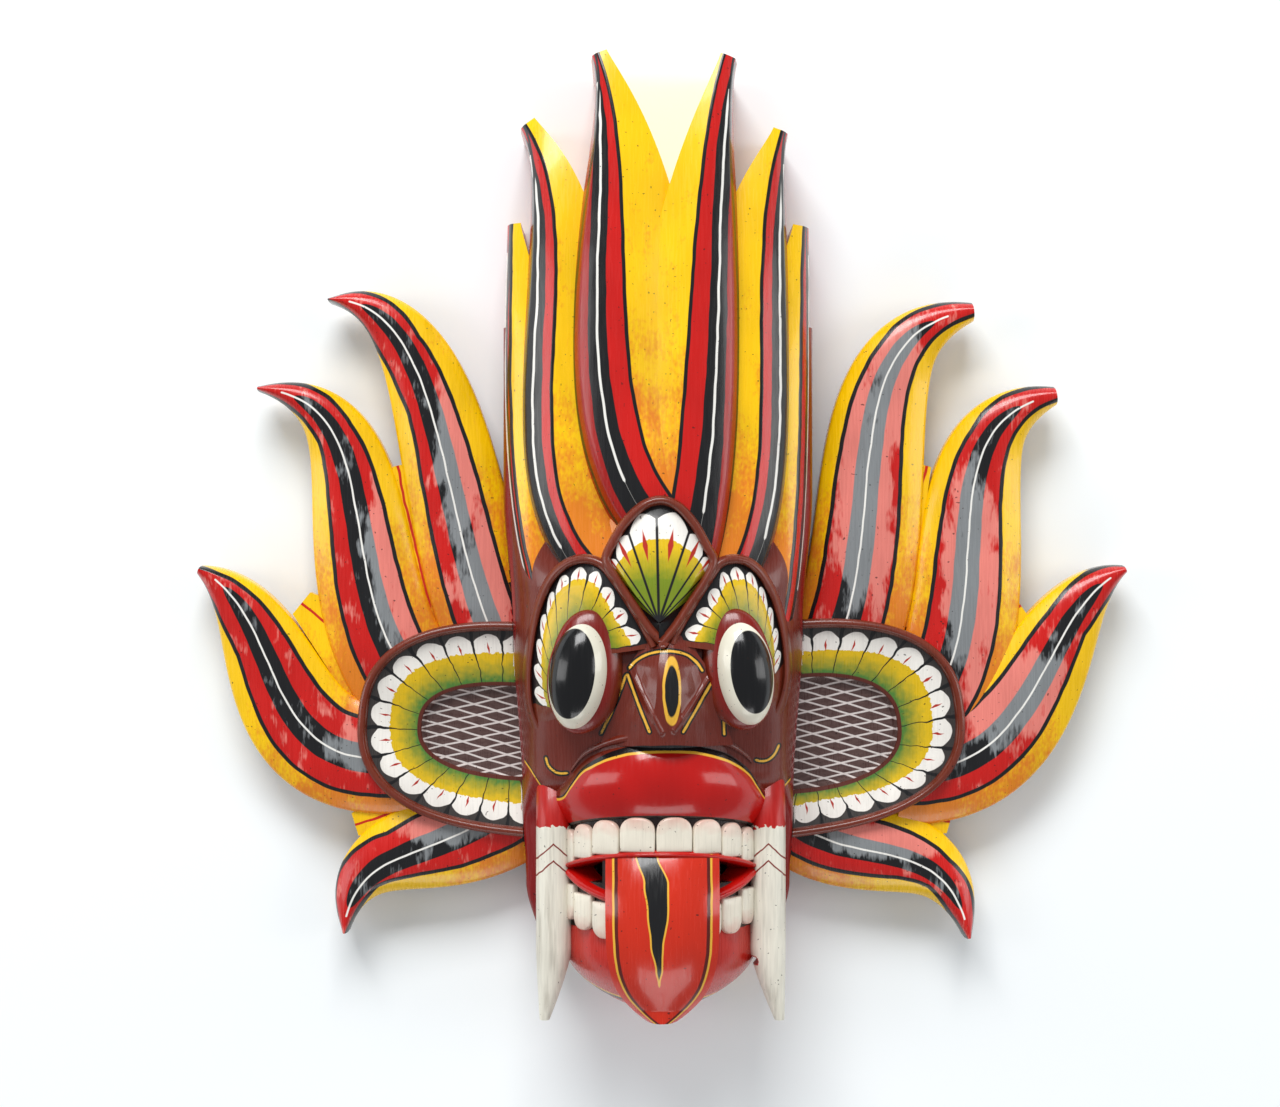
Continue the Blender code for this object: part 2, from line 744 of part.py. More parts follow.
def make_tusks():
    tusks = []
    for number, (middle, shift) in enumerate(zip(TUSK_MIDDLES, TUSK_TIP_SHIFTS)):
        rings = []
        for share in (0.0, 0.1, 0.25, 0.5, 0.72, 0.86, 0.95, 1.0):
            y = TUSK_TOP + (TUSK_TIP - TUSK_TOP) * share
            late = max(0.0, share - 0.7) / 0.3
            half = TUSK_HALF_WIDTH * (1 - 0.72 * late**1.3)
            deep = TUSK_HALF_DEPTH * (1 - 0.6 * late**1.5)
            centre = middle + shift * late**1.3
            early = max(0.0, 1 - share / TUSK_SINK_SHARE)
            height = TUSK_HEIGHT - TUSK_SINK * early * early
            ring = []
            for i in range(10):
                angle = 2 * math.pi * i / 10
                x = math.copysign(abs(math.cos(angle)) ** 0.8, math.cos(angle)) * half
                z = math.copysign(abs(math.sin(angle)) ** 0.8, math.sin(angle)) * deep
                ring.append((centre + x, y, height + z))
            rings.append(ring)
        tusks.append(loft(f"tusk_{number + 1}", rings))
    return tusks


def make_box(name, low, high):
    bpy.ops.mesh.primitive_cube_add(size=1)
    box = bpy.context.object
    box.name = name
    bpy.context.collection.objects.unlink(box)
    box.scale = [(b - a) * MM for a, b in zip(low, high)]
    box.location = [(a + b) / 2 * MM for a, b in zip(low, high)]
    return box


def make_tusk_hole():
    bpy.ops.mesh.primitive_cylinder_add(vertices=12, radius=TUSK_HOLE / 2 * MM, depth=TUSK_HEIGHT * MM)
    hole = bpy.context.object
    hole.name = "tusk_hole"
    bpy.context.collection.objects.unlink(hole)
    hole.location = (TUSK_HOLE_PLACE[0] * MM, TUSK_HOLE_PLACE[1] * MM, TUSK_HEIGHT * MM)
    return hole


def make_mouth_cutters(name, inner, outer, top, foot):
    """A box on each side of the tongue, from the hollow out through the muzzle's front."""
    cutters = []
    for side in (-1, 1):
        ends = sorted((MUZZLE_MIDDLE + side * inner, MUZZLE_MIDDLE + side * outer))
        low = (ends[0], foot, MOUTH_GAP_BACK)
        high = (ends[1], top, CUTTER_HEIGHT)
        cutters.append(make_box(f"{name}_{'left' if side < 0 else 'right'}", low, high))
    return cutters


def make_wing(name, wing):
    """The ear's dish, the flames to join to it and the room in them that the dish fills."""
    ear = wing["ear"]
    bowl = wing["bowl"]
    inner = oval_in_rim(ear)
    room = dish(f"{name}_room", EAR_SPOKES, [inner(-CUTTER_OVERRUN), inner(CUTTER_HEIGHT)])
    rings = [
        at_height(lambda angle: oval(ear, angle, 0, EAR_POWER), WING_BACK),
        at_height(lambda angle: oval(ear, angle, 0, EAR_POWER), EAR_RIM - RIM_ROUND),
        inner(EAR_RIM),
        at_height(lambda angle: oval(ear, angle, -RIM_WIDTH, EAR_POWER), EAR_GROUND),
        at_height(lambda angle: oval(bowl, angle, BOWL_SLOPE, EAR_POWER), BOWL_EDGE),
        at_height(lambda angle: oval(bowl, angle, 0, EAR_POWER), BOWL_FLOOR + RIM_ROUND),
        at_height(lambda angle: oval(bowl, angle, -BOWL_ROUND, EAR_POWER), BOWL_FLOOR),
    ]
    board = dish(name, EAR_SPOKES, rings)
    across = (1, 0.75, 0.4, 0, -0.4, -0.75, -1)
    flames = []
    for number, flame in enumerate(wing["flames"]):
        rings = flame_rings(flame, WING_REACH, WING_BACK, wing_height, across, 1.0)
        flames.append(loft(f"{name}_flame_{number + 1}", rings))
    for number, (root, notch, *halves) in enumerate(wing["webs"]):
        flames.append(make_web(f"{name}_web_{number + 1}", Vector(root), Vector(notch), halves))
    return board, room, flames


def make_web(name, root, notch, halves):
    """The flat ground between two flames, which narrows from the ear out to the notch."""
    run = (notch - root).normalized()
    side = Vector((-run.y, run.x))
    rings = []
    for share in (0.0, 0.5, 1.0):
        half = halves[0] + (halves[1] - halves[0]) * share
        left, right = (root.lerp(notch, share) + side * (half * way) for way in (1, -1))
        rings.append([(*left, WEB_BACK), (*left, WEB_FRONT), (*right, WEB_FRONT), (*right, WEB_BACK)])
    return loft(name, rings)


def oval_in_rim(ear):
    """Rings along the middle of an ear's rim, for a height."""

    def ring_at(height):
        return at_height(lambda angle: oval(ear, angle, -RIM_WIDTH / 2, EAR_POWER), height)

    return ring_at


def make_side_cutter():
    """The outline of the log's walls with the clearance that the wings keep."""
    rings = []
    stations = [WING_TOP, 20.0, 0.0, -18.0, -36.0, -60.0, -85.0, -110.0, -128.0, -145.0, WING_FOOT]
    for height in (-CUTTER_OVERRUN, CUTTER_HEIGHT):
        right = [(LOG_MIDDLE + along(LOG_HALF_WIDTHS, y) + WING_CLEARANCE, y, height) for y in stations]
        left = [(LOG_MIDDLE - along(LOG_HALF_WIDTHS, y) - WING_CLEARANCE, y, height) for y in stations]
        rings.append(right + left[::-1])
    return loft("log_sides", rings)


def paint(name, colour, roughness):
    material = bpy.data.materials.new(name)
    material.use_nodes = True
    surface = material.node_tree.nodes["Principled BSDF"]
    surface.inputs["Base Color"].default_value = (*colour, 1)
    surface.inputs["Roughness"].default_value = roughness
    surface.inputs["Metallic"].default_value = 0.0
    return material


def helper(collection, *objects):
    """Puts forms to join or cut in their collection, where a render leaves them out."""
    for item in objects:
        collection.objects.link(item)
        item.hide_render = True
        item.display_type = "WIRE"


def boolean(target, name, operation, operand, solver="EXACT"):
    """Joins or cuts; the manifold solver is for the many carved forms, where the exact one fails."""
    modifier = target.modifiers.new(name, "BOOLEAN")
    modifier.operation = operation
    modifier.solver = solver
    if isinstance(operand, bpy.types.Collection):
        modifier.operand_type = "COLLECTION"
        modifier.collection = operand
    else:
        modifier.object = operand


def new_collection(name, parent):
    collection = bpy.data.collections.new(name)
    parent.children.link(collection)
    return collection


for item in list(bpy.data.objects):
    bpy.data.objects.remove(item)

scene_root = bpy.context.scene.collection
mask = new_collection("raksha_mask", scene_root)
forms = new_collection("carving_forms", scene_root)
forms.hide_render = True
rough_forms = new_collection("rough_forms", forms)
hollows = new_collection("hollows", forms)
face_forms = new_collection("face_forms", forms)
last_cuts = new_collection("last_cuts", forms)

reach = 2 * CROWN_HEIGHT
back_plane = make_box("back_plane", (-reach, -reach, -reach), (reach, reach, 0))
helper(rough_forms, make_muzzle(), *make_crown())
mouth_gaps = make_mouth_cutters(
    "mouth_gap", MOUTH_GAP_INNER, MOUTH_GAP_OUTER, MOUTH_GAP_TOP, MOUTH_GAP_FOOT
)
mouth_ways = make_mouth_cutters(
    "mouth_way", MOUTH_WAY_INNER, MOUTH_WAY_OUTER, MOUTH_WAY_TOP, MOUTH_WAY_FOOT
)
helper(hollows, make_hollow(), make_muzzle_hollow(), *mouth_gaps)
for number, (form, eye) in enumerate(zip(LOBES, EYES)):
    helper(face_forms, make_lobe(f"brow_lobe_{number + 1}", form, eye))
helper(face_forms, make_fan(), *make_eyes(), make_nose())
helper(face_forms, *make_lips())
helper(face_forms, make_mouth_corner("left_mouth_corner", -1), make_mouth_corner("right_mouth_corner", 1))
helper(face_forms, *make_teeth(), make_tongue(), *make_tusks())
helper(last_cuts, back_plane, make_tusk_hole(), *mouth_ways)

face_block = make_log()
face_block.name = "face_block"
mask.objects.link(face_block)
boolean(face_block, "muzzle and crown", "UNION", rough_forms)
boolean(face_block, "hollow back and mouth", "DIFFERENCE", hollows)
boolean(face_block, "face carving", "UNION", face_forms, "MANIFOLD")
boolean(face_block, "flat back, mouth and tusk hole", "DIFFERENCE", last_cuts, "MANIFOLD")
face_block.data.materials.append(paint("red_enamel", (0.55, 0.03, 0.02), 0.25))

log_sides = make_side_cutter()
helper(forms, log_sides)
for name, wing, colour in (
    ("left_ear_wing", LEFT_WING, (0.80, 0.45, 0.01)),
    ("right_ear_wing", RIGHT_WING, (0.75, 0.40, 0.01)),
):
    board, room, flames = make_wing(name, wing)
    mask.objects.link(board)
    helper(forms, room)
    for flame in flames:
        boolean(flame, "ear's room", "DIFFERENCE", room)
    flame_forms = new_collection(f"{name}_flames", forms)
    helper(flame_forms, *flames)
    boolean(board, "flames", "UNION", flame_forms)
    boolean(board, "log side", "DIFFERENCE", log_sides)
    board.data.materials.append(paint(f"{name}_enamel", colour, 0.28))
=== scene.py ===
"""Looks of a raksha mask: a fire demon carved in light wood and painted by hand in glossy enamel.

Sizes are millimetres on the finished mask, and MM turns them into the frame's metres. X is the
viewer's right, Y runs up to the crown of flames and Z comes out of the face.
"""

import math

import bpy
import numpy as np
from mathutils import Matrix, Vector
from mathutils.bvhtree import BVHTree


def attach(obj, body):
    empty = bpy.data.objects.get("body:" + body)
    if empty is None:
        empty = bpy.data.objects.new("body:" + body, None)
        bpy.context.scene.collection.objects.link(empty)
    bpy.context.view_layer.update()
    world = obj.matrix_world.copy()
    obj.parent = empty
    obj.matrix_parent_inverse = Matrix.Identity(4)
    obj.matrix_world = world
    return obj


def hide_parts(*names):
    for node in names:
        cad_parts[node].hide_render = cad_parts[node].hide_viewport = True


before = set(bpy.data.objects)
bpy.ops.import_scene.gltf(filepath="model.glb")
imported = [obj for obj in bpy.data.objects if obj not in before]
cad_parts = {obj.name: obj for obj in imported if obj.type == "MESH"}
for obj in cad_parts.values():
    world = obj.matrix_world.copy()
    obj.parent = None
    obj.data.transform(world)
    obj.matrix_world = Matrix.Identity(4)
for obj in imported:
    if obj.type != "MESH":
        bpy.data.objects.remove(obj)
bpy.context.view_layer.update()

# The face block is half a log of pale, soft carving wood, split down its length and hollowed with
# a gouge behind the face. Its straight side walls are brushed in dark red enamel, its cheeks in
# brown, and its back and hollow are left bare.
MM = 0.001
LOG_MIDDLE = -2.0
LOG_WALL_HEIGHT = 27.0
LOG_HALF_WIDTHS = ((90, 65.6), (20, 65.6), (-36, 61.5), (-110, 57.5), (-145, 56.0), (-172, 50.0))
LOG_DEPTHS = ((90, 50), (40, 52), (8, 57), (-20, 69), (-55, 74), (-96, 67), (-120, 40), (-172, 35))
LOG_TOP = 90.0
LOG_FOOT = -172.0
WALL = 12.0
HOLLOW_TOP = 78.0
HOLLOW_FOOT = -160.0
CHEEK_EDGE = (
    (-70, -88), (-58.6, -92.7), (-50, -104), (-45.8, -107.6), (-41.3, -106.7), (-37.7, -101.3),
    (-32, -94.5), (-21, -89), (-9, -86.4), (1.6, -86), (13.9, -86.8), (26.5, -90.5),
    (34.6, -96), (38.9, -102.1), (42.5, -107.6), (46, -108), (49.7, -104.9), (52.9, -101.3),
    (66, -92),
)
FACE_LINES = (
    ((-14, -52), (-10.6, -48.6), (-5, -45.9), (2, -45.0), (8.6, -46.3), (13, -49.4), (15.6, -53)),
    ((-15.4, -55.2), (-19.8, -67), (-25.5, -79.3)),
    ((-14.6, -54.7), (-10.5, -66), (-5.8, -77.5)),
    ((19.2, -58.2), (13.8, -67.5), (7.8, -77.5)),
    ((20, -59.1), (24, -70.5), (24.8, -79.3)),
    ((-48.7, -90.5), (-47.6, -93.6), (-45.2, -95.8), (-42.6, -96.6), (-39.6, -96.2)),
    ((38.3, -91), (41.2, -91.6), (44, -91), (46.6, -88.8), (48.2, -85.6)),
)
ALMOND = (3.2, -60.9, 3.3, 12.2)
BARE_WOOD = "#C9A77C"
CHEEK_BROWN = "#6B2416"
BLOCK_RED = "#7E0D0B"
ENAMEL_BLACK = "#141416"
LINE_YELLOW = "#E8B23A"
BRUSH_EDGE = 0.22


def linear(hex_code):
    """Linear colour of an sRGB hex value, as a shader socket takes it."""
    parts = [int(hex_code[i : i + 2], 16) / 255 for i in (1, 3, 5)]
    return tuple(c / 12.92 if c <= 0.04045 else ((c + 0.055) / 1.055) ** 2.4 for c in parts) + (1,)


def add_node(tree, kind, inputs=(), output=0, **settings):
    """Adds a node with its settings, values and links, and gives one of its outputs."""
    made = tree.nodes.new("ShaderNode" + kind)
    for name, value in settings.items():
        setattr(made, name, value)
    for key, value in inputs.items() if isinstance(inputs, dict) else enumerate(inputs):
        if isinstance(value, bpy.types.NodeSocket):
            tree.links.new(value, made.inputs[key])
        else:
            made.inputs[key].default_value = value
    return made.outputs[output]


def field(tree, name):
    """A number that the carving code stored at each point of the piece."""
    return add_node(tree, "Attribute", output=2, attribute_name=name)


def place_mm(tree, across=1.0, along=1.0, out=1.0):
    """Position on the mask in millimetres, each axis divided by a grain size in millimetres."""
    place = add_node(tree, "TexCoord", output=3)
    return add_node(
        tree, "VectorMath", [place, (1 / across / MM, 1 / along / MM, 1 / out / MM)], operation="MULTIPLY"
    )


def brushed(tree, under, colour, cover):
    """Lays one enamel over another where cover, in mm inside the brushed shape, is above zero."""
    mask = add_node(tree, "Math", [cover, 1 / BRUSH_EDGE, 0.5], operation="MULTIPLY_ADD", use_clamp=True)
    return add_node(tree, "Mix", {0: mask, 6: under, 7: colour}, output=2, data_type="RGBA")


def band_cover(tree, distance, half):
    """How far inside a band of this half width a point is, from its distance to the middle line."""
    reach = add_node(tree, "Math", [distance], operation="ABSOLUTE")
    return add_node(tree, "Math", [half, reach], operation="SUBTRACT")


def wobbled(tree, value, amount, size):
    """A field with the unsteady hand of the brush in it, by an amount over a size, both in mm."""
    drift = add_node(tree, "TexNoise", {"Vector": place_mm(tree, size, size, size), "Scale": 1.0, "Detail": 1.0})
    drift = add_node(tree, "Math", [drift, 0.5], operation="SUBTRACT")
    return add_node(tree, "Math", [drift, 2 * amount, value], operation="MULTIPLY_ADD")


def enamel(name, painted, gloss=0.24, grain=0.035, wave=0.35, back_height=0.2):
    """Enamel brushed on carved wood: a glossy coat over faint gouge waves, brush lines and grain.

    The grain runs up the mask and is about 0.8 mm wide. What lies below back_height is bare wood.
    """
    material = bpy.data.materials.new(name)
    material.use_nodes = True
    tree = material.node_tree
    tree.nodes.clear()
    grain_lines = add_node(
        tree, "TexNoise", {"Vector": place_mm(tree, 0.8, 14, 3), "Scale": 1.0, "Detail": 3.0}
    )
    gouge = add_node(tree, "TexNoise", {"Vector": place_mm(tree, 17, 26, 17), "Scale": 1.0, "Detail": 1.0})
    fine = add_node(tree, "TexNoise", {"Vector": place_mm(tree, 0.45, 0.45, 0.45), "Scale": 1.0, "Detail": 1.0})
    colour = painted(tree)
    shade = add_node(tree, "MapRange", [gouge, 0.3, 0.7, 0.90, 1.04])
    streak = add_node(tree, "MapRange", [grain_lines, 0.3, 0.7, 1 - 1.6 * grain, 1 + grain])
    shade = add_node(tree, "Math", [shade, streak], operation="MULTIPLY")
    colour = add_node(
        tree, "Mix", {0: 1.0, 6: colour, 7: shade}, output=2, data_type="RGBA", blend_type="MULTIPLY"
    )
    speck = add_node(
        tree, "TexNoise", {"Vector": place_mm(tree, 1.1, 1.1, 1.1), "Scale": 1.0, "Detail": 0.0}
    )
    speck = add_node(tree, "MapRange", [speck, 0.81, 0.825, 0.0, 0.75])
    colour = add_node(tree, "Mix", {0: speck, 6: colour, 7: linear("#1E1210")}, output=2, data_type="RGBA")
    height = add_node(tree, "SeparateXYZ", [place_mm(tree)], output=2)
    bare = add_node(tree, "Math", [height, back_height], operation="LESS_THAN")
    wood = add_node(
        tree, "Mix", {0: grain_lines, 6: linear(BARE_WOOD), 7: linear("#A87F52")}, output=2, data_type="RGBA"
    )
    colour = add_node(tree, "Mix", {0: bare, 6: colour, 7: wood}, output=2, data_type="RGBA")
    rough = add_node(tree, "MapRange", [grain_lines, 0.35, 0.65, gloss, gloss + 0.14])
    rough = add_node(tree, "Math", [bare, 0.4, rough], operation="MULTIPLY_ADD")
    heights = add_node(tree, "Math", [grain_lines, grain * MM, 0.0], operation="MULTIPLY_ADD")
    heights = add_node(tree, "Math", [gouge, wave * MM, heights], operation="MULTIPLY_ADD")
    heights = add_node(tree, "Math", [fine, 0.004 * MM, heights], operation="MULTIPLY_ADD")
    bump = add_node(tree, "Bump", {"Height": heights, "Strength": 1.0, "Distance": 1.0})
    surface = add_node(
        tree,
        "BsdfPrincipled",
        {
            "Base Color": colour,
            "Roughness": rough,
            "IOR": 1.5,
            "Normal": bump,
            "Specular IOR Level": 0.4,
            "Coat Weight": 0.2,
            "Coat Roughness": 0.06,
            "Coat IOR": 1.5,
        },
    )
    add_node_out = tree.nodes.new("ShaderNodeOutputMaterial")
    tree.links.new(surface, add_node_out.inputs["Surface"])
    return material


def eased(table, y):
    """Values at y in a table of (y, value) rows, eased between the rows."""
    rows = np.array(sorted(table), float)
    low = np.clip(np.searchsorted(rows[:, 0], y) - 1, 0, len(rows) - 2)
    share = np.clip((y - rows[low, 0]) / (rows[low + 1, 0] - rows[low, 0]), 0, 1)
    return rows[low, 1] + (rows[low + 1, 1] - rows[low, 1]) * share * share * (3 - 2 * share)


def log_surface(x, y, depths=LOG_DEPTHS):
    """Height of the half log's front over the back plane."""
    across = (x - LOG_MIDDLE) / eased(LOG_HALF_WIDTHS, y)
    round_part = np.sqrt(np.maximum(0, 1 - across * across))
    return LOG_WALL_HEIGHT + (eased(depths, y) - LOG_WALL_HEIGHT) * round_part


def smooth_curve(points, count):
    """Evenly spread points on a smooth curve through the given ones."""
    points = np.array(points, float)
    ends = np.vstack([2 * points[0] - points[1], points, 2 * points[-1] - points[-2]])
    spots = np.linspace(0, len(points) - 1 - 1e-9, count)
    first = spots.astype(int)
    t = (spots - first)[:, None]
    a, b, c, d = (ends[first + i] for i in range(4))
    return 0.5 * (2 * b + (c - a) * t + (2 * a - 5 * b + 4 * c - d) * t**2 + (3 * b - a - 3 * c + d) * t**3)


def shell(name, grid, fields=(), closed=True):
    """A skin through rows of points with caps at both ends, and its fields of numbers.

    Each row closes on itself, or carries its first point again at its end where closed is false.
    """
    grid = np.asarray(grid, float)
    rows, count = grid.shape[:2]
    index = np.arange(rows * count).reshape(rows, count)
    turned = np.roll(index, -1, axis=1)
    if closed:
        corners = (index[:-1], turned[:-1], turned[1:], index[1:])
    else:
        corners = (index[:-1, :-1], index[:-1, 1:], index[1:, 1:], index[1:, :-1])
    faces = np.stack(corners, axis=-1).reshape(-1, 4).tolist()
    faces += [index[0][::-1].tolist(), index[-1].tolist()]
    points = grid.reshape(-1, 3) * MM
    mesh = bpy.data.meshes.new(name)
    mesh.from_pydata(points.tolist(), [], faces)
    middle = points.mean(axis=0)
    quads = np.stack(corners, axis=-1).reshape(-1, 4)
    a, b, c, d = (points[quads[:, i]] - middle for i in range(4))
    if np.einsum("ij,ij->", a, np.cross(b, c)) + np.einsum("ij,ij->", a, np.cross(c, d)) < 0:
        mesh.flip_normals()
    for key, values in dict(fields).items():
        stored = mesh.attributes.new(key, "FLOAT", "POINT")
        stored.data.foreach_set("value", np.broadcast_to(values, (rows, count)).astype(np.float32).ravel())
    mesh.shade_smooth()
    mesh.set_sharp_from_angle(angle=math.radians(42))
    piece = bpy.data.objects.new(name, mesh)
    bpy.context.scene.collection.objects.link(piece)
    return piece


def joined(name, pieces):
    """One piece out of several carved forms that overlap."""
    with bpy.context.temp_override(
        active_object=pieces[0], object=pieces[0], selected_editable_objects=pieces, selected_objects=pieces
    ):
        bpy.ops.object.join()
    pieces[0].name = name
    return pieces[0]


def gouged(piece, cutters):
    """Takes the cutters out of a piece, whose fields it keeps, and clears them away."""
    for cutter in cutters:
        cut = piece.modifiers.new(cutter.name, "BOOLEAN")
        cut.operation = "DIFFERENCE"
        cut.solver = "MANIFOLD"
        cut.object = cutter
    made = piece.evaluated_get(bpy.context.evaluated_depsgraph_get())
    mesh = bpy.data.meshes.new_from_object(made)
    piece.modifiers.clear()
    mesh.materials.clear()
    piece.data = mesh
    mesh.shade_smooth()
    mesh.set_sharp_from_angle(angle=math.radians(42))
    for cutter in cutters:
        bpy.data.objects.remove(cutter)


def log_grid(y, shrink, foot, depth_cut, around):
    """Sections of the half log, drawn in by a wall's thickness for its hollow."""
    half = eased(LOG_HALF_WIDTHS, y)[:, None] - shrink
    depth = eased(LOG_DEPTHS, y)[:, None] - depth_cut - LOG_WALL_HEIGHT
    angle = np.linspace(math.pi, 0, around)[None, :]
    x = LOG_MIDDLE + half * np.cos(angle)
    z = LOG_WALL_HEIGHT + depth * np.sin(angle)
    walls = np.linspace(LOG_WALL_HEIGHT, foot, 8)[1:]
    left = [np.stack([x[:, :1] + 0 * y[:, None], y[:, None], 0 * y[:, None] + h], axis=-1) for h in walls[::-1]]
    right = [np.stack([x[:, -1:] + 0 * y[:, None], y[:, None], 0 * y[:, None] + h], axis=-1) for h in walls]
    front = np.stack([x, np.broadcast_to(y[:, None], x.shape), z], axis=-1)
    return np.concatenate([*left, front, *right], axis=1)


def near_lines(grid, lines):
    """Distance in mm, looked at from the front, from each point to the nearest of some curves."""
    away = np.full(grid.shape[:2], 1e3)
    for line in lines:
        for x, y in smooth_curve(line, 60):
            away = np.minimum(away, np.hypot(grid[..., 0] - x, grid[..., 1] - y))
    return away


def cheek_field(grid):
    """How far above the wavy lower edge of the brown cheeks each point lies."""
    edge = smooth_curve(CHEEK_EDGE, 300)
    return grid[..., 1] - np.interp(grid[..., 0], edge[:, 0], edge[:, 1])


def face_bands(grid):
    """Fields of the painted edge from cheek to cheek over the lip, and of the lines on the nose."""
    x, y, wide, high = ALMOND
    reach = np.hypot((grid[..., 0] - x) / wide, (grid[..., 1] - y) / high)
    spread = np.exp(-(((grid[..., 0] - 2) / 34) ** 4))
    return {
        "cheek": cheek_field(grid),
        "shadow": 1.3 + 1.7 * spread,
        "hollow": 0 * grid[..., 0],
        "face_line": near_lines(grid, FACE_LINES),
        "almond": (reach - 1) * wide,
    }


def face_ground(tree, below):
    """Brown cheeks that end in a black band and a thin yellow line, over another enamel."""
    cheek = wobbled(tree, field(tree, "cheek"), 0.35, 9)
    colour = brushed(tree, linear(below), linear(CHEEK_BROWN), cheek)
    black = add_node(tree, "Math", [field(tree, "shadow"), cheek], operation="SUBTRACT")
    black = add_node(tree, "Math", [black, cheek], operation="MINIMUM")
    colour = brushed(tree, colour, linear(ENAMEL_BLACK), black)
    colour = brushed(tree, colour, linear(LINE_YELLOW), band_cover(tree, cheek, 0.5))
    almond = wobbled(tree, field(tree, "almond"), 0.2, 5)
    inside = add_node(tree, "Math", [almond, -1.0], operation="MULTIPLY")
    colour = brushed(tree, colour, linear(ENAMEL_BLACK), inside)
    line = wobbled(tree, field(tree, "face_line"), 0.2, 5)
    colour = brushed(tree, colour, linear(ENAMEL_BLACK), band_cover(tree, line, 1.2))
    nearest = add_node(tree, "Math", [line, add_node(tree, "Math", [almond], operation="ABSOLUTE")], operation="MINIMUM")
    return brushed(tree, colour, linear(LINE_YELLOW), band_cover(tree, nearest, 0.5))


def log_paint(tree):
    colour = face_ground(tree, BLOCK_RED)
    height = add_node(tree, "SeparateXYZ", [place_mm(tree)], output=2)
    side = add_node(tree, "Math", [height, -1.0, LOG_WALL_HEIGHT + 10], operation="MULTIPLY_ADD")
    colour = brushed(tree, colour, linear(BLOCK_RED), wobbled(tree, side, 1.5, 30))
    wood = add_node(tree, "Math", [field(tree, "hollow"), 0.5], operation="SUBTRACT")
    return brushed(tree, colour, linear(BARE_WOOD), wood)


# The muzzle is a smaller half round carved in front of the log, from the lip down to the chin.
# It is red enamel under the cheeks' edge, dark between the teeth and hollow behind.
MUZZLE_MIDDLE = -1.0
MUZZLE_AXIS_HEIGHT = 32.0
MUZZLE_RADIUS = 41.0
MUZZLE_TOP = -80.0
CHIN_START = -168.0
CHIN_FOOT = -194.0
CHIN_SHARE = 0.42
MUZZLE_HOLLOW_TOP = -90.0
MOUTH_GAPS = ((-36.5, -25.0), (23.0, 34.5))
MOUTH_GAP_TOP = -131.0
MOUTH_GAP_FOOT = -140.5
LIP_RED = "#B30D08"
CHIN_RED = "#B8281E"
MOUTH_TOP = -106.0
MOUTH_FOOT = -160.0
CHIN_LINE = ((-42, -170), (-37.7, -180.7), (-29.2, -186.6), (-17.6, -190.8), (0, -192.5), (22.5, -190.5), (35.5, -182), (41, -170))
MOUTH_DARK = "#1C0806"


def muzzle_radius(y):
    """The muzzle keeps its radius down to the chin, which rounds off under it."""
    share = np.clip((CHIN_START - y) / (CHIN_START - CHIN_FOOT), 0, 1)
    return MUZZLE_RADIUS * (1 - (1 - CHIN_SHARE) * share**2.2)


def muzzle_points(y, degrees, stand):
    """Points on the muzzle at angles from straight ahead, standing proud by some millimetres."""
    radius = muzzle_radius(y) + stand
    angle = np.radians(degrees)
    x = MUZZLE_MIDDLE + radius * np.sin(angle)
    return np.stack(np.broadcast_arrays(x, y, MUZZLE_AXIS_HEIGHT + radius * np.cos(angle)), axis=-1)


def muzzle_grid(y, stand, foot, around):
    front = muzzle_points(y[:, None], np.linspace(-90, 90, around)[None, :], stand)
    feet = []
    for side in (0, -1):
        low = front[:, side : side + 1 if side == 0 else None].copy()
        low[..., 2] = foot
        feet.append(low)
    return np.concatenate([feet[0], front, feet[1]], axis=1)


def make_face_block():
    """The log and the muzzle with their hollows and the open corners of the mouth."""
    log = log_grid(np.linspace(LOG_FOOT, LOG_TOP, 330), 0, 0, 0, 170)
    muzzle = muzzle_grid(np.linspace(CHIN_FOOT, MUZZLE_TOP, 170), 0, 0, 140)
    pieces = []
    chin = smooth_curve(CHIN_LINE, 200)
    for name, grid in (("half_log", log), ("muzzle", muzzle)):
        above_chin = grid[..., 1] - np.interp(grid[..., 0], chin[:, 0], chin[:, 1])
        piece = shell(name, grid, face_bands(grid) | {"chin_line": above_chin})
        trough = log_grid(np.linspace(HOLLOW_FOOT, HOLLOW_TOP, 40), WALL, -6, WALL, 40)
        nose_room = muzzle_grid(np.linspace(HOLLOW_FOOT, MUZZLE_HOLLOW_TOP, 20), -WALL, -7, 30)
        cutters = [shell("trough", trough, {"hollow": 1.0}), shell("nose_room", nose_room, {"hollow": 1.0})]
        for low, high in MOUTH_GAPS:
            ring = [(low, MOUTH_GAP_FOOT), (high, MOUTH_GAP_FOOT), (high, MOUTH_GAP_TOP), (low, MOUTH_GAP_TOP)]
            box = [[(x, y, z) for x, y in ring] for z in (20.0, 100.0)]
            cutters.append(shell("mouth_gap", box, {"hollow": 0.0}))
        gouged(piece, cutters)
        pieces.append(piece)
    return pieces


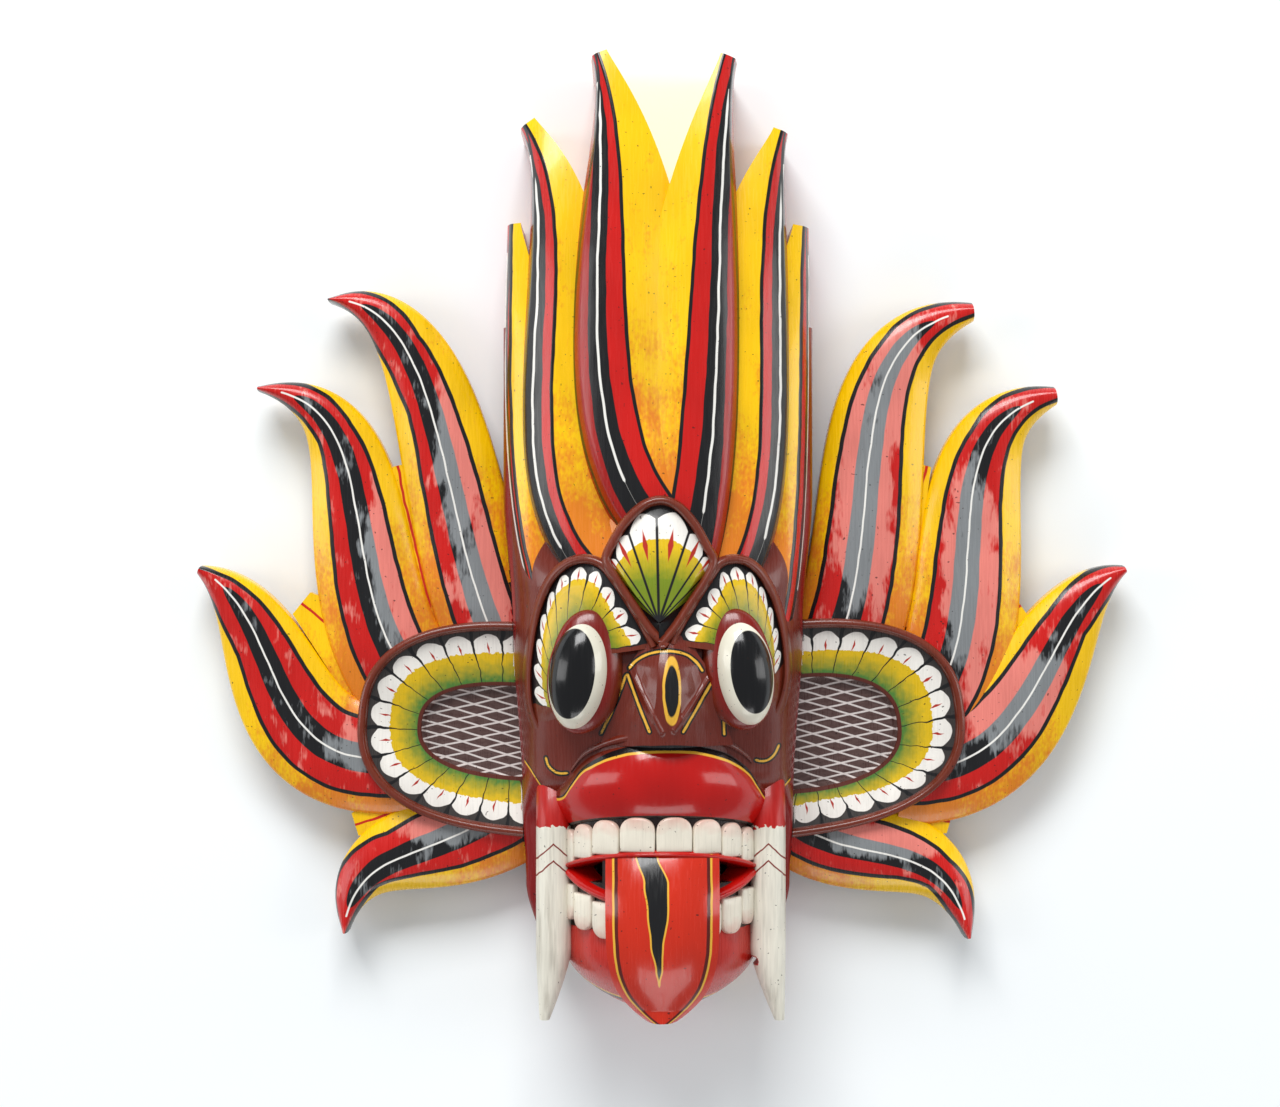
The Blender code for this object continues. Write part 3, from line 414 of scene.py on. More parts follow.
def muzzle_paint(tree):
    colour = face_ground(tree, CHIN_RED)
    height = add_node(tree, "SeparateXYZ", [place_mm(tree)], output=1)
    middle = add_node(tree, "Math", [height, (MOUTH_TOP + MOUTH_FOOT) / 2], operation="SUBTRACT")
    inside = band_cover(tree, wobbled(tree, middle, 0.4, 6), (MOUTH_TOP - MOUTH_FOOT) / 2)
    colour = brushed(tree, colour, linear(MOUTH_DARK), inside)
    line = field(tree, "chin_line")
    colour = brushed(tree, colour, linear(ENAMEL_BLACK), band_cover(tree, line, 0.8))
    line = add_node(tree, "Math", [line, 1.1], operation="SUBTRACT")
    colour = brushed(tree, colour, linear(LINE_YELLOW), band_cover(tree, line, 0.45))
    wood = add_node(tree, "Math", [field(tree, "hollow"), 0.5], operation="SUBTRACT")
    return brushed(tree, colour, linear(BARE_WOOD), wood)


half_log, muzzle = make_face_block()
half_log.data.materials.append(enamel("dark_red_enamel_log", log_paint, gloss=0.2))
muzzle.data.materials.append(enamel("red_enamel_muzzle", muzzle_paint, gloss=0.2))
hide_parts("face_block")
for piece in (half_log, muzzle):
    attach(piece, "root")

# The crown is six flames cut down from the log's upper end. Each has a crest line, a yellow slope
# that falls to the valley inside it, and a red, black and dark red flank that falls steeply outside it;
# the dark red is the flank's red darkened as painted shade on the steep side and its walls. The
# stripes are brushed along the crest, and a thin white line runs in the black.
CROWN_HEIGHT = 200.5
CROWN_DEPTH = 63.0
CROWN_HALF_WIDTH = 65.6
CROWN_INNER_FALL = 0.42
CROWN_OUTER_FALL = 3.0
CROWN_STEP = 9.0
CROWN_STEP_START = 0.80
CROWN_TIP_LEAN = 9.0
CROWN_NARROWING = 1.5
CROWN_LEAST_HEIGHT = 12.0
CROWN = (
    dict(
        path=((0.02, 0.08), (-0.14, 0.274), (-0.035, 0.748), (-0.135, 1)),
        left=(0.1297, 0.015, 3),
        right=(0.1696, 0.02, 3),
        lift=9,
        stripe=0.50,
    ),
    dict(
        path=((0, -0.02), (0.065, 0.25), (0.04, 0.698), (0.125, 0.998)),
        left=(0.1197, 0.0075, 3),
        right=(0.1247, 0.0299, 3),
        lift=9,
        stripe=0.52,
    ),
    dict(
        path=((-0.12, -0.06), (-0.349, 0.13), (-0.12, 0.608), (-0.289, 0.868)),
        left=(0.0698, 0.0125, 6),
        right=(0.1297, 0.0249, 4),
        lift=5,
        stripe=0.58,
    ),
    dict(
        path=((0.14, -0.06), (0.259, 0.175), (0.15, 0.549), (0.249, 0.853)),
        left=(0.1297, 0.02, 5),
        right=(0.0673, 0.015, 6),
        lift=5,
        stripe=0.60,
    ),
    dict(
        path=((-0.239, -0.17), (-0.339, 0.05), (-0.319, 0.399), (-0.319, 0.668)),
        left=(0.017, 0.0125, 8),
        right=(0.0698, 0.02, 8),
        lift=1,
        stripe=0.7,
    ),
    dict(
        path=((0.249, -0.17), (0.299, 0.05), (0.279, 0.399), (0.299, 0.663)),
        left=(0.0698, 0.0249, 8),
        right=(0.0249, 0.015, 8),
        lift=1,
        stripe=0.8,
    ),
)
FLAME_YELLOW = "#F6C400"
ROOT_ORANGE = "#E0801A"
FLAME_RED = "#C41510"
# Darker red as painted shade on the flames' steep outer sides and walls.
SHADED_FLANK_RED = "#A0120E"
WHITE_LINE = "#EDEBE4"


def bezier(path, share):
    """Points and unit directions on a four-point curve."""
    a, b, c, d = (np.array(point, float)[None, :] for point in path)
    t = share[:, None]
    rest = 1 - t
    point = a * rest**3 + 3 * b * rest**2 * t + 3 * c * rest * t**2 + d * t**3
    run = (b - a) * rest**2 + 2 * (c - b) * rest * t + (d - c) * t**2
    return point, run / np.linalg.norm(run, axis=1, keepdims=True)


def side_width(side, share, narrowing):
    full, tip, late = side
    return tip + (full - tip) * np.maximum(0, 1 - share**late) ** narrowing


def flame_grid(flame, size, stations, steps, narrowing, height_at, foot_at):
    """Sections square to a flame's path, with fields for its stripes: see the paints below."""
    share = 1 - (1 - np.linspace(0, 1, stations)) ** 1.35
    point, run = bezier(flame["path"], share)
    point = point * size
    normal = np.stack([-run[:, 1], run[:, 0]], axis=1)
    step = np.sin(np.linspace(1, -1, steps) * math.pi / 2)[None, :]
    left = side_width(flame["left"], share, narrowing)[:, None] * size
    right = side_width(flame["right"], share, narrowing)[:, None] * size
    half = np.where(step >= 0, left, right)
    side = step * half
    x = point[:, :1] + normal[:, :1] * side
    y = point[:, 1:] + normal[:, 1:] * side
    spread = np.broadcast_to(share[:, None], side.shape)
    top = np.stack([x, y, height_at(flame, x, spread, side, half)], axis=-1)
    grids = {"side": side, "half": half, "share": spread, "edge": half - np.abs(side)}
    feet = []
    for place in (-1, 0):
        foot = top[:, place : place + 1 if place == 0 else None].copy()
        foot[..., 2] = foot_at(foot[..., 0], foot[..., 1])
        feet.append(foot)
    grid = np.concatenate([top, feet[0], feet[1]], axis=1)
    fields = {
        key: np.concatenate([value, value[:, -1:], value[:, :1]], axis=1) for key, value in grids.items()
    }
    return grid, fields


def crown_height(flame, x, share, side, half):
    """Front of a crown flame: a crest, a falling inner side and a steep outer side."""
    across = (x - LOG_MIDDLE) / CROWN_HALF_WIDTH
    surface = LOG_WALL_HEIGHT + (CROWN_DEPTH - LOG_WALL_HEIGHT) * np.sqrt(np.maximum(0, 1 - across**2))
    height = surface + flame["lift"] - CROWN_TIP_LEAN * np.maximum(0, share - 0.5) ** 2 * 4
    outward = side * flame["outer"]
    reach = np.maximum(0, outward) / half
    step = np.maximum(0, (reach - CROWN_STEP_START) / (1 - CROWN_STEP_START))
    fall = CROWN_OUTER_FALL * reach**2 + CROWN_STEP * step**1.4
    return np.maximum(np.where(outward < 0, height + CROWN_INNER_FALL * outward, height - fall), CROWN_LEAST_HEIGHT)


def crown_foot(x, y):
    """Down to the back above the hollow, and just into the log's front beside it."""
    sunk = log_surface(x, y) - 10
    return np.where(y > HOLLOW_TOP + 4, 0.0, np.maximum(0.0, sunk))


def make_crown():
    flames = []
    for number, form in enumerate(CROWN):
        flame = dict(form, outer=1 if form["path"][3][0] < 0 else -1)
        grid, fields = flame_grid(flame, CROWN_HEIGHT, 210, 58, CROWN_NARROWING, crown_height, crown_foot)
        outward = fields["side"] * flame["outer"]
        share = fields["share"]
        outer_half = side_width(flame["left" if flame["outer"] > 0 else "right"], share, CROWN_NARROWING)
        outer_half = outer_half * CROWN_HEIGHT
        middle = outer_half * (flame["stripe"] + (0.9 - flame["stripe"]) * share**6)
        band = np.minimum(3.3 + 3.0 * (1 - share) ** 3, outer_half * 0.28) * (1 - share**14)
        made = {
            "outward": outward,
            "stripe": outward - middle,
            "band": band,
            "line": 0.5 * (share < 0.93) * (share > 0.10) - 0.2 * (share >= 0.93),
            "root": np.clip(1 - share / 0.55, 0, 1),
            "edge": fields["edge"],
        }
        flames.append(shell(f"crown_flame_{number + 1}", grid, made))
    return joined("crown_flames", flames)


def speckled_yellow(tree, root):
    """Yellow that turns orange towards the roots, where fine orange specks lie thick on it."""
    sponge = add_node(tree, "TexNoise", {"Vector": place_mm(tree, 1.3, 2.2, 1.3), "Scale": 1.0, "Detail": 3.0})
    cloud = add_node(tree, "TexNoise", {"Vector": place_mm(tree, 9, 16, 9), "Scale": 1.0, "Detail": 1.0})
    amount = add_node(tree, "Math", [sponge, cloud], operation="ADD")
    amount = add_node(tree, "Math", [amount, root], operation="ADD")
    amount = add_node(tree, "MapRange", [amount, 1.2, 1.75, 0.0, 1.0])
    return add_node(
        tree, "Mix", {0: amount, 6: linear(FLAME_YELLOW), 7: linear(ROOT_ORANGE)}, output=2, data_type="RGBA"
    )


def crown_paint(tree):
    outward = wobbled(tree, field(tree, "outward"), 0.5, 14)
    stripe = wobbled(tree, field(tree, "stripe"), 0.5, 12)
    flank = add_node(tree, "Math", [stripe, field(tree, "band")], operation="SUBTRACT")
    colour = brushed(tree, speckled_yellow(tree, field(tree, "root")), linear(FLAME_RED), outward)
    front = add_node(tree, "Math", [field(tree, "edge"), 0.3], operation="SUBTRACT")
    wall = add_node(tree, "Math", [front, -1.0], operation="MULTIPLY")
    wall = add_node(tree, "Math", [wall, outward], operation="MINIMUM")
    flank = add_node(tree, "Math", [flank, wall], operation="MAXIMUM")
    # Painted shade: the steep outer side and the walls beside it take the darker red.
    colour = brushed(tree, colour, linear(SHADED_FLANK_RED), flank)
    for paint, width in ((ENAMEL_BLACK, "band"), (WHITE_LINE, "line")):
        cover = add_node(
            tree, "Math", [band_cover(tree, stripe, field(tree, width)), front], operation="MINIMUM"
        )
        colour = brushed(tree, colour, linear(paint), cover)
    colour = brushed(tree, colour, linear(ENAMEL_BLACK), band_cover(tree, outward, 0.75))
    rim = add_node(tree, "Math", [wobbled(tree, field(tree, "edge"), 0.3, 12), 1.8], operation="SUBTRACT")
    rim = add_node(tree, "Math", [band_cover(tree, rim, 0.5), outward], operation="MINIMUM")
    return brushed(tree, colour, linear(ENAMEL_BLACK), rim)


crown = make_crown()
crown.data.materials.append(enamel("flame_enamel_crown", crown_paint, gloss=0.18, grain=0.02))
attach(crown, "root")

# The brow is two rimmed lobes over the eyes and a fan between them, carved low on the log. Rows of
# white petals with red strokes lie on a black ground inside brown rims, and each petal runs
# through yellow into green towards the eye.
BROW_DEPTHS = ((16, 68), (-20, 72), (-55, 74))
RIM_WIDTH = 4.0
RIM_RISE = 6.0
PETAL_RISE = 2.5
PETAL_REACH = 13.0
SOCKET_RISE = 5.0
CARVING_ROOT = 9.0
LOBES = (
    dict(
        edge=(
            (-52, -86), (-57.4, -72), (-58.6, -58), (-57.5, -45), (-54.6, -30), (-49, -16.4),
            (-41.9, -8.8), (-33.4, -5.8), (-24.6, -8), (-18, -15.4), (-11, -26), (-4.4, -37.2), (-2.2, -42.5),
        ),
        eye_angles=(252, 28),
        petals=11,
        painted=(0.13, 0.99),
        faded=0.17,
    ),
    dict(
        edge=(
            (46, -80), (51.5, -68), (53.7, -57), (53.4, -46), (51.6, -35), (47.2, -21.6),
            (40.1, -10.6), (31.6, -6), (22.4, -7.6), (16.2, -15.4), (9.4, -26), (3.3, -36.5), (1.6, -41.5),
        ),
        eye_angles=(-62, 150),
        petals=10,
        painted=(0.23, 0.985),
        faded=0.2,
    ),
)
EYES = (
    dict(middle=(-34.3, -55), half=(12.6, 22.5), tilt=-7),
    dict(middle=(32.7, -54), half=(12.1, 22), tilt=8),
)
FAN_EDGE = (
    (-0.3, -44.5), (-7.2, -37.6), (-14, -27.6), (-21, -17), (-25.4, -8.6), (-22.4, 0), (-16.2, 9.4),
    (-8.6, 16), (-0.5, 18), (7.3, 15), (14, 7.6), (19, -1.2), (22.4, -9), (18.6, -17.8),
    (12.4, -27.2), (6, -37), (-0.3, -44.5),
)
FAN_HUB = (-2.0, -33.5)
FAN_RISE = 2.0
PETAL_WHITE = "#F1EEE6"
PETAL_YELLOW = "#DDB814"
PETAL_GREEN = "#74861C"
STROKE_RED = "#B02818"
RIM_BROWN = "#6E2A18"


def brow_surface(x, y):
    """Height of the ground that the brow and the nose are carved from."""
    above = log_surface(x, y, BROW_DEPTHS)
    return np.where(y > BROW_DEPTHS[-1][0], above, log_surface(x, y))


def oval(form, angle, grow=0.0, power=2.0):
    """Points on a tilted oval; a power over 2 makes its shoulders squarer."""
    cosine, sine = np.cos(angle), np.sin(angle)
    x = np.sign(cosine) * np.abs(cosine) ** (2 / power) * (form["half"][0] + grow)
    y = np.sign(sine) * np.abs(sine) ** (2 / power) * (form["half"][1] + grow)
    tilt = math.radians(form["tilt"])
    return np.stack(
        [
            form["middle"][0] + x * math.cos(tilt) - y * math.sin(tilt),
            form["middle"][1] + x * math.sin(tilt) + y * math.cos(tilt),
        ],
        axis=-1,
    )


def arc_length(outline):
    """Millimetres run along an outline up to each of its points."""
    steps = np.linalg.norm(np.diff(outline, axis=0), axis=1)
    return np.concatenate([[0], np.cumsum(steps)])


def rimmed_rows(outer, inner, rise, rows):
    """Rows of points from an outline in to another line, with the rim's profile along the first.

    It gives the points with their rises over the brow, mm of depth inside the rim and whole depths.
    """
    run = np.gradient(outer, axis=0)
    inward = np.column_stack([-run[:, 1], run[:, 0]]) / np.linalg.norm(run, axis=1)[:, None]
    middle = inner.mean(axis=0)
    inward = inward * np.sign(np.einsum("ij,ij->i", inward, middle - outer))[:, None]
    rim = np.linspace(0, RIM_WIDTH, 9)
    rim_points = outer[None] + inward[None] * rim[:, None, None]
    shares = np.linspace(0.01, 1, rows)[:, None]
    points = rim_points[-1][None] * (1 - shares[..., None]) + inner[None] * shares[..., None]
    span = np.linalg.norm(inner - rim_points[-1], axis=1)
    round_part = np.sqrt(np.clip(1 - (2 * rim / RIM_WIDTH - 1) ** 2, 0, 1))[:, None]
    climb = np.clip(shares * span / (PETAL_REACH - RIM_WIDTH), 0, 1)
    points = np.concatenate([outer[None], rim_points, points])
    rises = np.concatenate(
        [
            0 * span[None],
            rise + PETAL_RISE + (RIM_RISE - PETAL_RISE) * round_part + 0 * span,
            rise + PETAL_RISE + (SOCKET_RISE - PETAL_RISE) * climb,
        ]
    )
    depths = np.concatenate([0 * span[None] - RIM_WIDTH, rim[:, None] - RIM_WIDTH + 0 * span, shares * span])
    return points, rises, depths, np.broadcast_to(span[None], depths.shape)


def brow_lobe(number, form, eye):
    """A lobe from its rim in to the eye; it is a strip whose outer end sinks into the cheek."""
    outer = smooth_curve(form["edge"], 320)
    angles = np.radians(np.linspace(*form["eye_angles"], 320))
    points, rises, depths, spans = rimmed_rows(outer, oval(eye, angles, -2.0), 0.0, 60)
    arc = arc_length(outer) / arc_length(outer)[-1]
    faded = np.clip(arc / form["faded"], 0, 1)
    faded = faded * faded * (3 - 2 * faded)
    ground = brow_surface(points[..., 0], points[..., 1])
    heights = ground + rises * faded - 1.5 * (1 - faded)
    root = log_surface(points[..., 0], points[..., 1])[[0, -1]] - CARVING_ROOT
    heights = np.concatenate([root[:1], heights[1:], root[1:]])
    points = np.concatenate([points, points[-1:]])
    grid = np.concatenate([points, heights[..., None]], axis=-1)
    first, last = form["painted"]
    turn = form["petals"] * (arc - first) / (last - first)
    fields = {
        "petal": np.broadcast_to(turn, heights.shape),
        "pitch": np.full(heights.shape, arc_length(outer)[-1] * (last - first) / form["petals"]),
        "depth": np.concatenate([depths, depths[-1:]]),
        "span": np.concatenate([spans, spans[-1:]]),
    }
    return shell(f"brow_lobe_{number + 1}", grid.transpose(1, 0, 2), {k: v.T for k, v in fields.items()})


def petals(tree, count, ground, white=5.0, green=PETAL_GREEN, green_from=0.40, green_to=0.78):
    """White petals along an edge, through yellow to green inside, with black lines between them.

    The fields are petal, the count of petals run through, pitch, their width in mm, depth, mm in
    from the rim, and span, the depth in all. White is how far the white reaches, in mm.
    """
    petal, pitch, depth, span = (field(tree, name) for name in ("petal", "pitch", "depth", "span"))
    petal = wobbled(tree, petal, 0.09, 5)
    across = add_node(tree, "Math", [petal], operation="FRACT")
    across = add_node(tree, "Math", [across, 0.5], operation="SUBTRACT")
    square = add_node(tree, "Math", [across, across], operation="MULTIPLY")
    tip = add_node(tree, "Math", [square, -15.0, -1.4], operation="MULTIPLY_ADD")
    tip = add_node(tree, "Math", [tip, depth], operation="ADD")
    reach = add_node(tree, "Math", [across], operation="ABSOLUTE")
    reach = add_node(tree, "Math", [reach, pitch], operation="MULTIPLY")
    share = add_node(tree, "Math", [depth, span], operation="DIVIDE")
    ragged = wobbled(tree, depth, 1.1, 1.6)
    to_green = add_node(tree, "MapRange", [wobbled(tree, share, 0.12, 2.5), green_from, green_to, 0.0, 1.0])
    inside = add_node(
        tree, "Mix", {0: to_green, 6: linear(PETAL_YELLOW), 7: linear(green)}, output=2, data_type="RGBA"
    )
    colour = brushed(tree, linear(ground), linear(PETAL_WHITE), tip)
    colour = brushed(tree, colour, inside, add_node(tree, "Math", [ragged, -1.4 - white], operation="ADD"))
    narrow = add_node(tree, "MapRange", [share, 0.0, 0.55, 0.95, 0.30])
    gap = add_node(tree, "Math", [pitch, -0.5, narrow], operation="MULTIPLY_ADD")
    gap = add_node(tree, "Math", [gap, reach], operation="ADD")
    lines_end = add_node(tree, "Math", [share, -30.0, 28.5], operation="MULTIPLY_ADD")
    gap = add_node(tree, "Math", [gap, lines_end], operation="MINIMUM")
    colour = brushed(tree, colour, linear(ENAMEL_BLACK), gap)
    stroke = add_node(tree, "Math", [depth, -0.6 - 0.85 * white], operation="ADD")
    stroke = add_node(tree, "Math", [stroke], operation="ABSOLUTE")
    stroke = add_node(tree, "Math", [stroke, -0.22, 0.62], operation="MULTIPLY_ADD")
    stroke = add_node(tree, "Math", [stroke, reach], operation="SUBTRACT")
    colour = brushed(tree, colour, linear(STROKE_RED), stroke)
    beyond = add_node(tree, "Math", [petal, count / 2], operation="SUBTRACT")
    beyond = add_node(tree, "Math", [beyond], operation="ABSOLUTE")
    beyond = add_node(tree, "Math", [beyond, 9.0, -4.5 * count], operation="MULTIPLY_ADD")
    rim = add_node(tree, "Math", [depth, -1.0], operation="MULTIPLY")
    return brushed(tree, colour, linear(RIM_BROWN), add_node(tree, "Math", [rim, beyond], operation="MAXIMUM"))


def make_fan():
    """The fan spreads from its point between the eyes up to a round top; its rows end at the hub."""
    outer = smooth_curve(FAN_EDGE, 360)
    hub = np.array(FAN_HUB)
    points, rises, depths, _ = rimmed_rows(outer, hub[None] + 0 * outer, FAN_RISE, 60)
    side = np.sign(points[0, :, 0] - hub[0])
    points[..., 0] = np.where(side > 0, np.maximum(points[..., 0], hub[0]), np.minimum(points[..., 0], hub[0]))
    inner = hub[None] + (points[-2] - hub[None]) * 0.02
    points[-1] = inner
    surface = brow_surface(points[..., 0], points[..., 1])
    heights = surface + rises
    heights[0] = log_surface(points[0, :, 0], points[0, :, 1]) - CARVING_ROOT
    grid = np.concatenate([points, heights[..., None]], axis=-1)
    from_hub = points - hub + np.array([0, 1e-6])
    bearing = np.degrees(np.arctan2(from_hub[..., 0], from_hub[..., 1]))
    fields = {
        "petal": np.interp(bearing, *np.array(FAN_LINES).T) + 8,
        "tips": np.interp(bearing, *np.array(FAN_TIPS).T),
        "radius": np.linalg.norm(from_hub, axis=-1),
        "depth": depths,
    }
    return shell("brow_fan", grid, fields)


FAN_LINES = ((-52, -4), (-41.7, -3), (-33.9, -2), (-18.8, -1), (-1.2, 0), (18.8, 1), (33.9, 2), (44.5, 3), (54, 4))
FAN_TIPS = ((-46, 28), (-38, 31.5), (-26, 37), (-10, 44.5), (8.5, 45), (26, 38), (38, 33), (46, 28))


def fan_paint(tree):
    bearing, radius, depth, tips = (field(tree, name) for name in ("petal", "radius", "depth", "tips"))
    turn = add_node(tree, "Math", [bearing], operation="FRACT")
    across = add_node(tree, "Math", [turn, 0.5], operation="SUBTRACT")
    square = add_node(tree, "Math", [across, across], operation="MULTIPLY")
    tip = add_node(tree, "Math", [square, -13.0, tips], operation="MULTIPLY_ADD")
    tip = add_node(tree, "Math", [tip, radius], operation="SUBTRACT")
    colour = brushed(tree, linear(ENAMEL_BLACK), linear(PETAL_WHITE), tip)
    mottle = wobbled(tree, radius, 2.2, 2.5)
    to_green = add_node(tree, "MapRange", [mottle, 31.0, 18.0, 0.0, 1.0])
    inside = add_node(
        tree, "Mix", {0: to_green, 6: linear(PETAL_YELLOW), 7: linear(PETAL_GREEN)}, output=2, data_type="RGBA"
    )
    edge = add_node(tree, "Math", [tips, 0.42, 15.0], operation="MULTIPLY_ADD")
    edge = add_node(tree, "Math", [edge, wobbled(tree, radius, 0.8, 1.6)], operation="SUBTRACT")
    colour = brushed(tree, colour, inside, edge)
    reach = add_node(tree, "Math", [across], operation="ABSOLUTE")
    width = add_node(tree, "Math", [radius, 0.22], operation="MULTIPLY")
    gap = add_node(tree, "Math", [reach, 0.5], operation="SUBTRACT")
    gap = add_node(tree, "Math", [gap, width, 0.38], operation="MULTIPLY_ADD")
    colour = brushed(tree, colour, linear(ENAMEL_BLACK), gap)
    stroke = add_node(tree, "Math", [radius, 31.5], operation="SUBTRACT")
    stroke = add_node(tree, "Math", [add_node(tree, "Math", [stroke], operation="ABSOLUTE"), -0.11, 0.75], operation="MULTIPLY_ADD")
    stroke = add_node(tree, "Math", [stroke, add_node(tree, "Math", [reach, width], operation="MULTIPLY")], operation="SUBTRACT")
    colour = brushed(tree, colour, linear(STROKE_RED), stroke)
    return brushed(tree, colour, linear(RIM_BROWN), add_node(tree, "Math", [depth, -1.0], operation="MULTIPLY"))


for number, (form, eye) in enumerate(zip(LOBES, EYES)):
    lobe = brow_lobe(number, form, eye)

    def lobe_paint(tree, count=form["petals"]):
        return petals(tree, count, ENAMEL_BLACK)

    lobe.data.materials.append(enamel(f"petal_enamel_lobe_{number + 1}", lobe_paint, grain=0.01, wave=0.15))
    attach(lobe, "root")

fan = make_fan()
fan.data.materials.append(enamel("petal_enamel_fan", fan_paint, grain=0.01, wave=0.15))
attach(fan, "root")

# The eyes are smooth eggs that bulge from their sockets. Each has an off-white ball, a large
# gloss black pupil towards the outer side, and a brown lid that thickens on the side of the nose.
EYE_BULGE = 12.0
LID_BULGE = 7.2
LID_WIDTH = 5.0
PUPILS = (
    dict(middle=(-37.2, -54.2), half=(9.4, 18.3), tilt=-6),
    dict(middle=(35.6, -53.6), half=(8.6, 16.9), tilt=7),
)
EYE_WHITE = "#E4E0CE"
PUPIL_BLACK = "#0B0B0D"
SOCKET_RED = "#7A1208"


def egg(name, form, base, bulge, grow, fields_of):
    """A low dome on an oval; grow may change round the oval."""
    angle = np.linspace(0, 2 * math.pi, 181)[:-1]
    climb = np.radians(np.concatenate([[0], np.linspace(0, 89, 46)]))
    edge = oval(form, angle) + (oval(form, angle, 1.0) - oval(form, angle)) * grow(angle)[:, None]
    middle = np.array(form["middle"], float)
    points = middle + (edge - middle)[None] * np.cos(climb)[:, None, None]
    heights = (base + np.sin(climb) * bulge)[:, None] + 0 * angle
    heights[0] = log_surface(points[0, :, 0], points[0, :, 1]) - CARVING_ROOT
    grid = np.concatenate([points, heights[..., None]], axis=-1)
    return shell(name, grid, fields_of(grid))


def oval_cover(form, grid):
    """Millimetres inside an oval, roughly, for points near its edge."""
    tilt = math.radians(form["tilt"])
    dx, dy = grid[..., 0] - form["middle"][0], grid[..., 1] - form["middle"][1]
    u = (dx * math.cos(tilt) + dy * math.sin(tilt)) / form["half"][0]
    v = (-dx * math.sin(tilt) + dy * math.cos(tilt)) / form["half"][1]
    return (1 - np.sqrt(u * u + v * v)) * (form["half"][0] * 1.3)


def eye_paint(tree):
    return brushed(tree, linear(EYE_WHITE), linear(PUPIL_BLACK), field(tree, "pupil"))


def lid_paint(tree):
    ease = add_node(tree, "MapRange", [wobbled(tree, field(tree, "lid"), 1.0, 8), 0.0, 5.0, 0.0, 1.0])
    return add_node(
        tree, "Mix", {0: ease, 6: linear(RIM_BROWN), 7: linear(SOCKET_RED)}, output=2, data_type="RGBA"
    )


eye_enamel = enamel("gloss_enamel_eye", eye_paint, gloss=0.12, grain=0.004, wave=0.12)
lid_enamel = enamel("brown_enamel_lid", lid_paint, gloss=0.2, grain=0.01, wave=0.2)
for number, (form, pupil) in enumerate(zip(EYES, PUPILS)):
    base = float(log_surface(np.array(form["middle"][0]), np.array(form["middle"][1]))) + SOCKET_RISE
    nose_side = math.radians(25 if number == 0 else 155)
    ball = egg(
        f"eye_ball_{number + 1}",
        form,
        base,
        EYE_BULGE,
        lambda angle: 0 * angle,
        lambda grid: {"pupil": oval_cover(pupil, grid)},
    )
    lid = egg(
        f"eye_lid_{number + 1}",
        form,
        base,
        LID_BULGE,
        lambda angle: 0.4 + (LID_WIDTH - 0.4) * np.clip(0.5 + 0.8 * np.cos(angle - nose_side), 0, 1),
        lambda grid: {"lid": oval_cover(form, grid) + 5.0},
    )
    ball.data.materials.append(eye_enamel)
    lid.data.materials.append(lid_enamel)
    for piece in (ball, lid):
        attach(piece, "root")

# The nose is a brown ridge that widens to the nostrils, and a raised brown roll under it runs
# over the lip from cheek to cheek.
NOSE_MIDDLE = 1.5
NOSE_TOP = -38.0
NOSE_FOOT = -84.0
NOSE_HALF_WIDTHS = ((-38, 5.0), (-44, 11.5), (-52, 15.5), (-62, 18.5), (-76, 24.6), (-84, 27.0))
NOSE_RIDGES = (((-13.7, -52.1), (-8, -64), (-1, -77.5)), ((18.3, -56.5), (12, -66), (4.3, -76.6)))
RIDGE_HEIGHT = 1.3
RIDGE_HALF_WIDTH = 1.1
NOSE_ROOT_RISE = 4.0
NOSE_RISE = 9.8
NOSE_SIDE_RISE = 4.0
NOSE_PROFILE = (
    (-1, 0.0), (-0.8, 0.12), (-0.62, 0.35), (-0.45, 0.62), (-0.25, 0.9), (0, 1.0),
    (0.25, 0.9), (0.45, 0.62), (0.62, 0.35), (0.8, 0.12), (1, 0.0),
)
ROLL_HEIGHT = 2.6
ROLL_WIDTH = 4.6
ROLL_ABOVE = 6.8


def make_nose():
    share = np.linspace(0, 1, 140)
    y = NOSE_TOP + (NOSE_FOOT - NOSE_TOP) * share
    half = eased(NOSE_HALF_WIDTHS, y)
    crest = brow_surface(NOSE_MIDDLE + 0 * y, y) + NOSE_ROOT_RISE
    crest = crest + NOSE_RISE * np.sin(share * math.radians(110))
    base = log_surface(NOSE_MIDDLE + half, y) - CARVING_ROOT
    foot = base + CARVING_ROOT + NOSE_SIDE_RISE
    across = np.linspace(-1, 1, 140)
    profile = np.interp(across, *np.array(NOSE_PROFILE).T)
    x = NOSE_MIDDLE + half[:, None] * across[None]
    z = foot[:, None] + (crest - foot)[:, None] * profile[None]
    top = np.stack([x, np.broadcast_to(y[:, None], x.shape), z], axis=-1)
    ridge = near_lines(top, NOSE_RIDGES) / RIDGE_HALF_WIDTH
    top[..., 2] += RIDGE_HEIGHT * np.exp(-ridge * ridge)
    feet = [top[:, -1:].copy(), top[:, :1].copy()]
    for low in feet:
        low[..., 2] = base[:, None]
    grid = np.concatenate([top, *feet], axis=1)
    return shell("nose", grid, face_bands(grid))


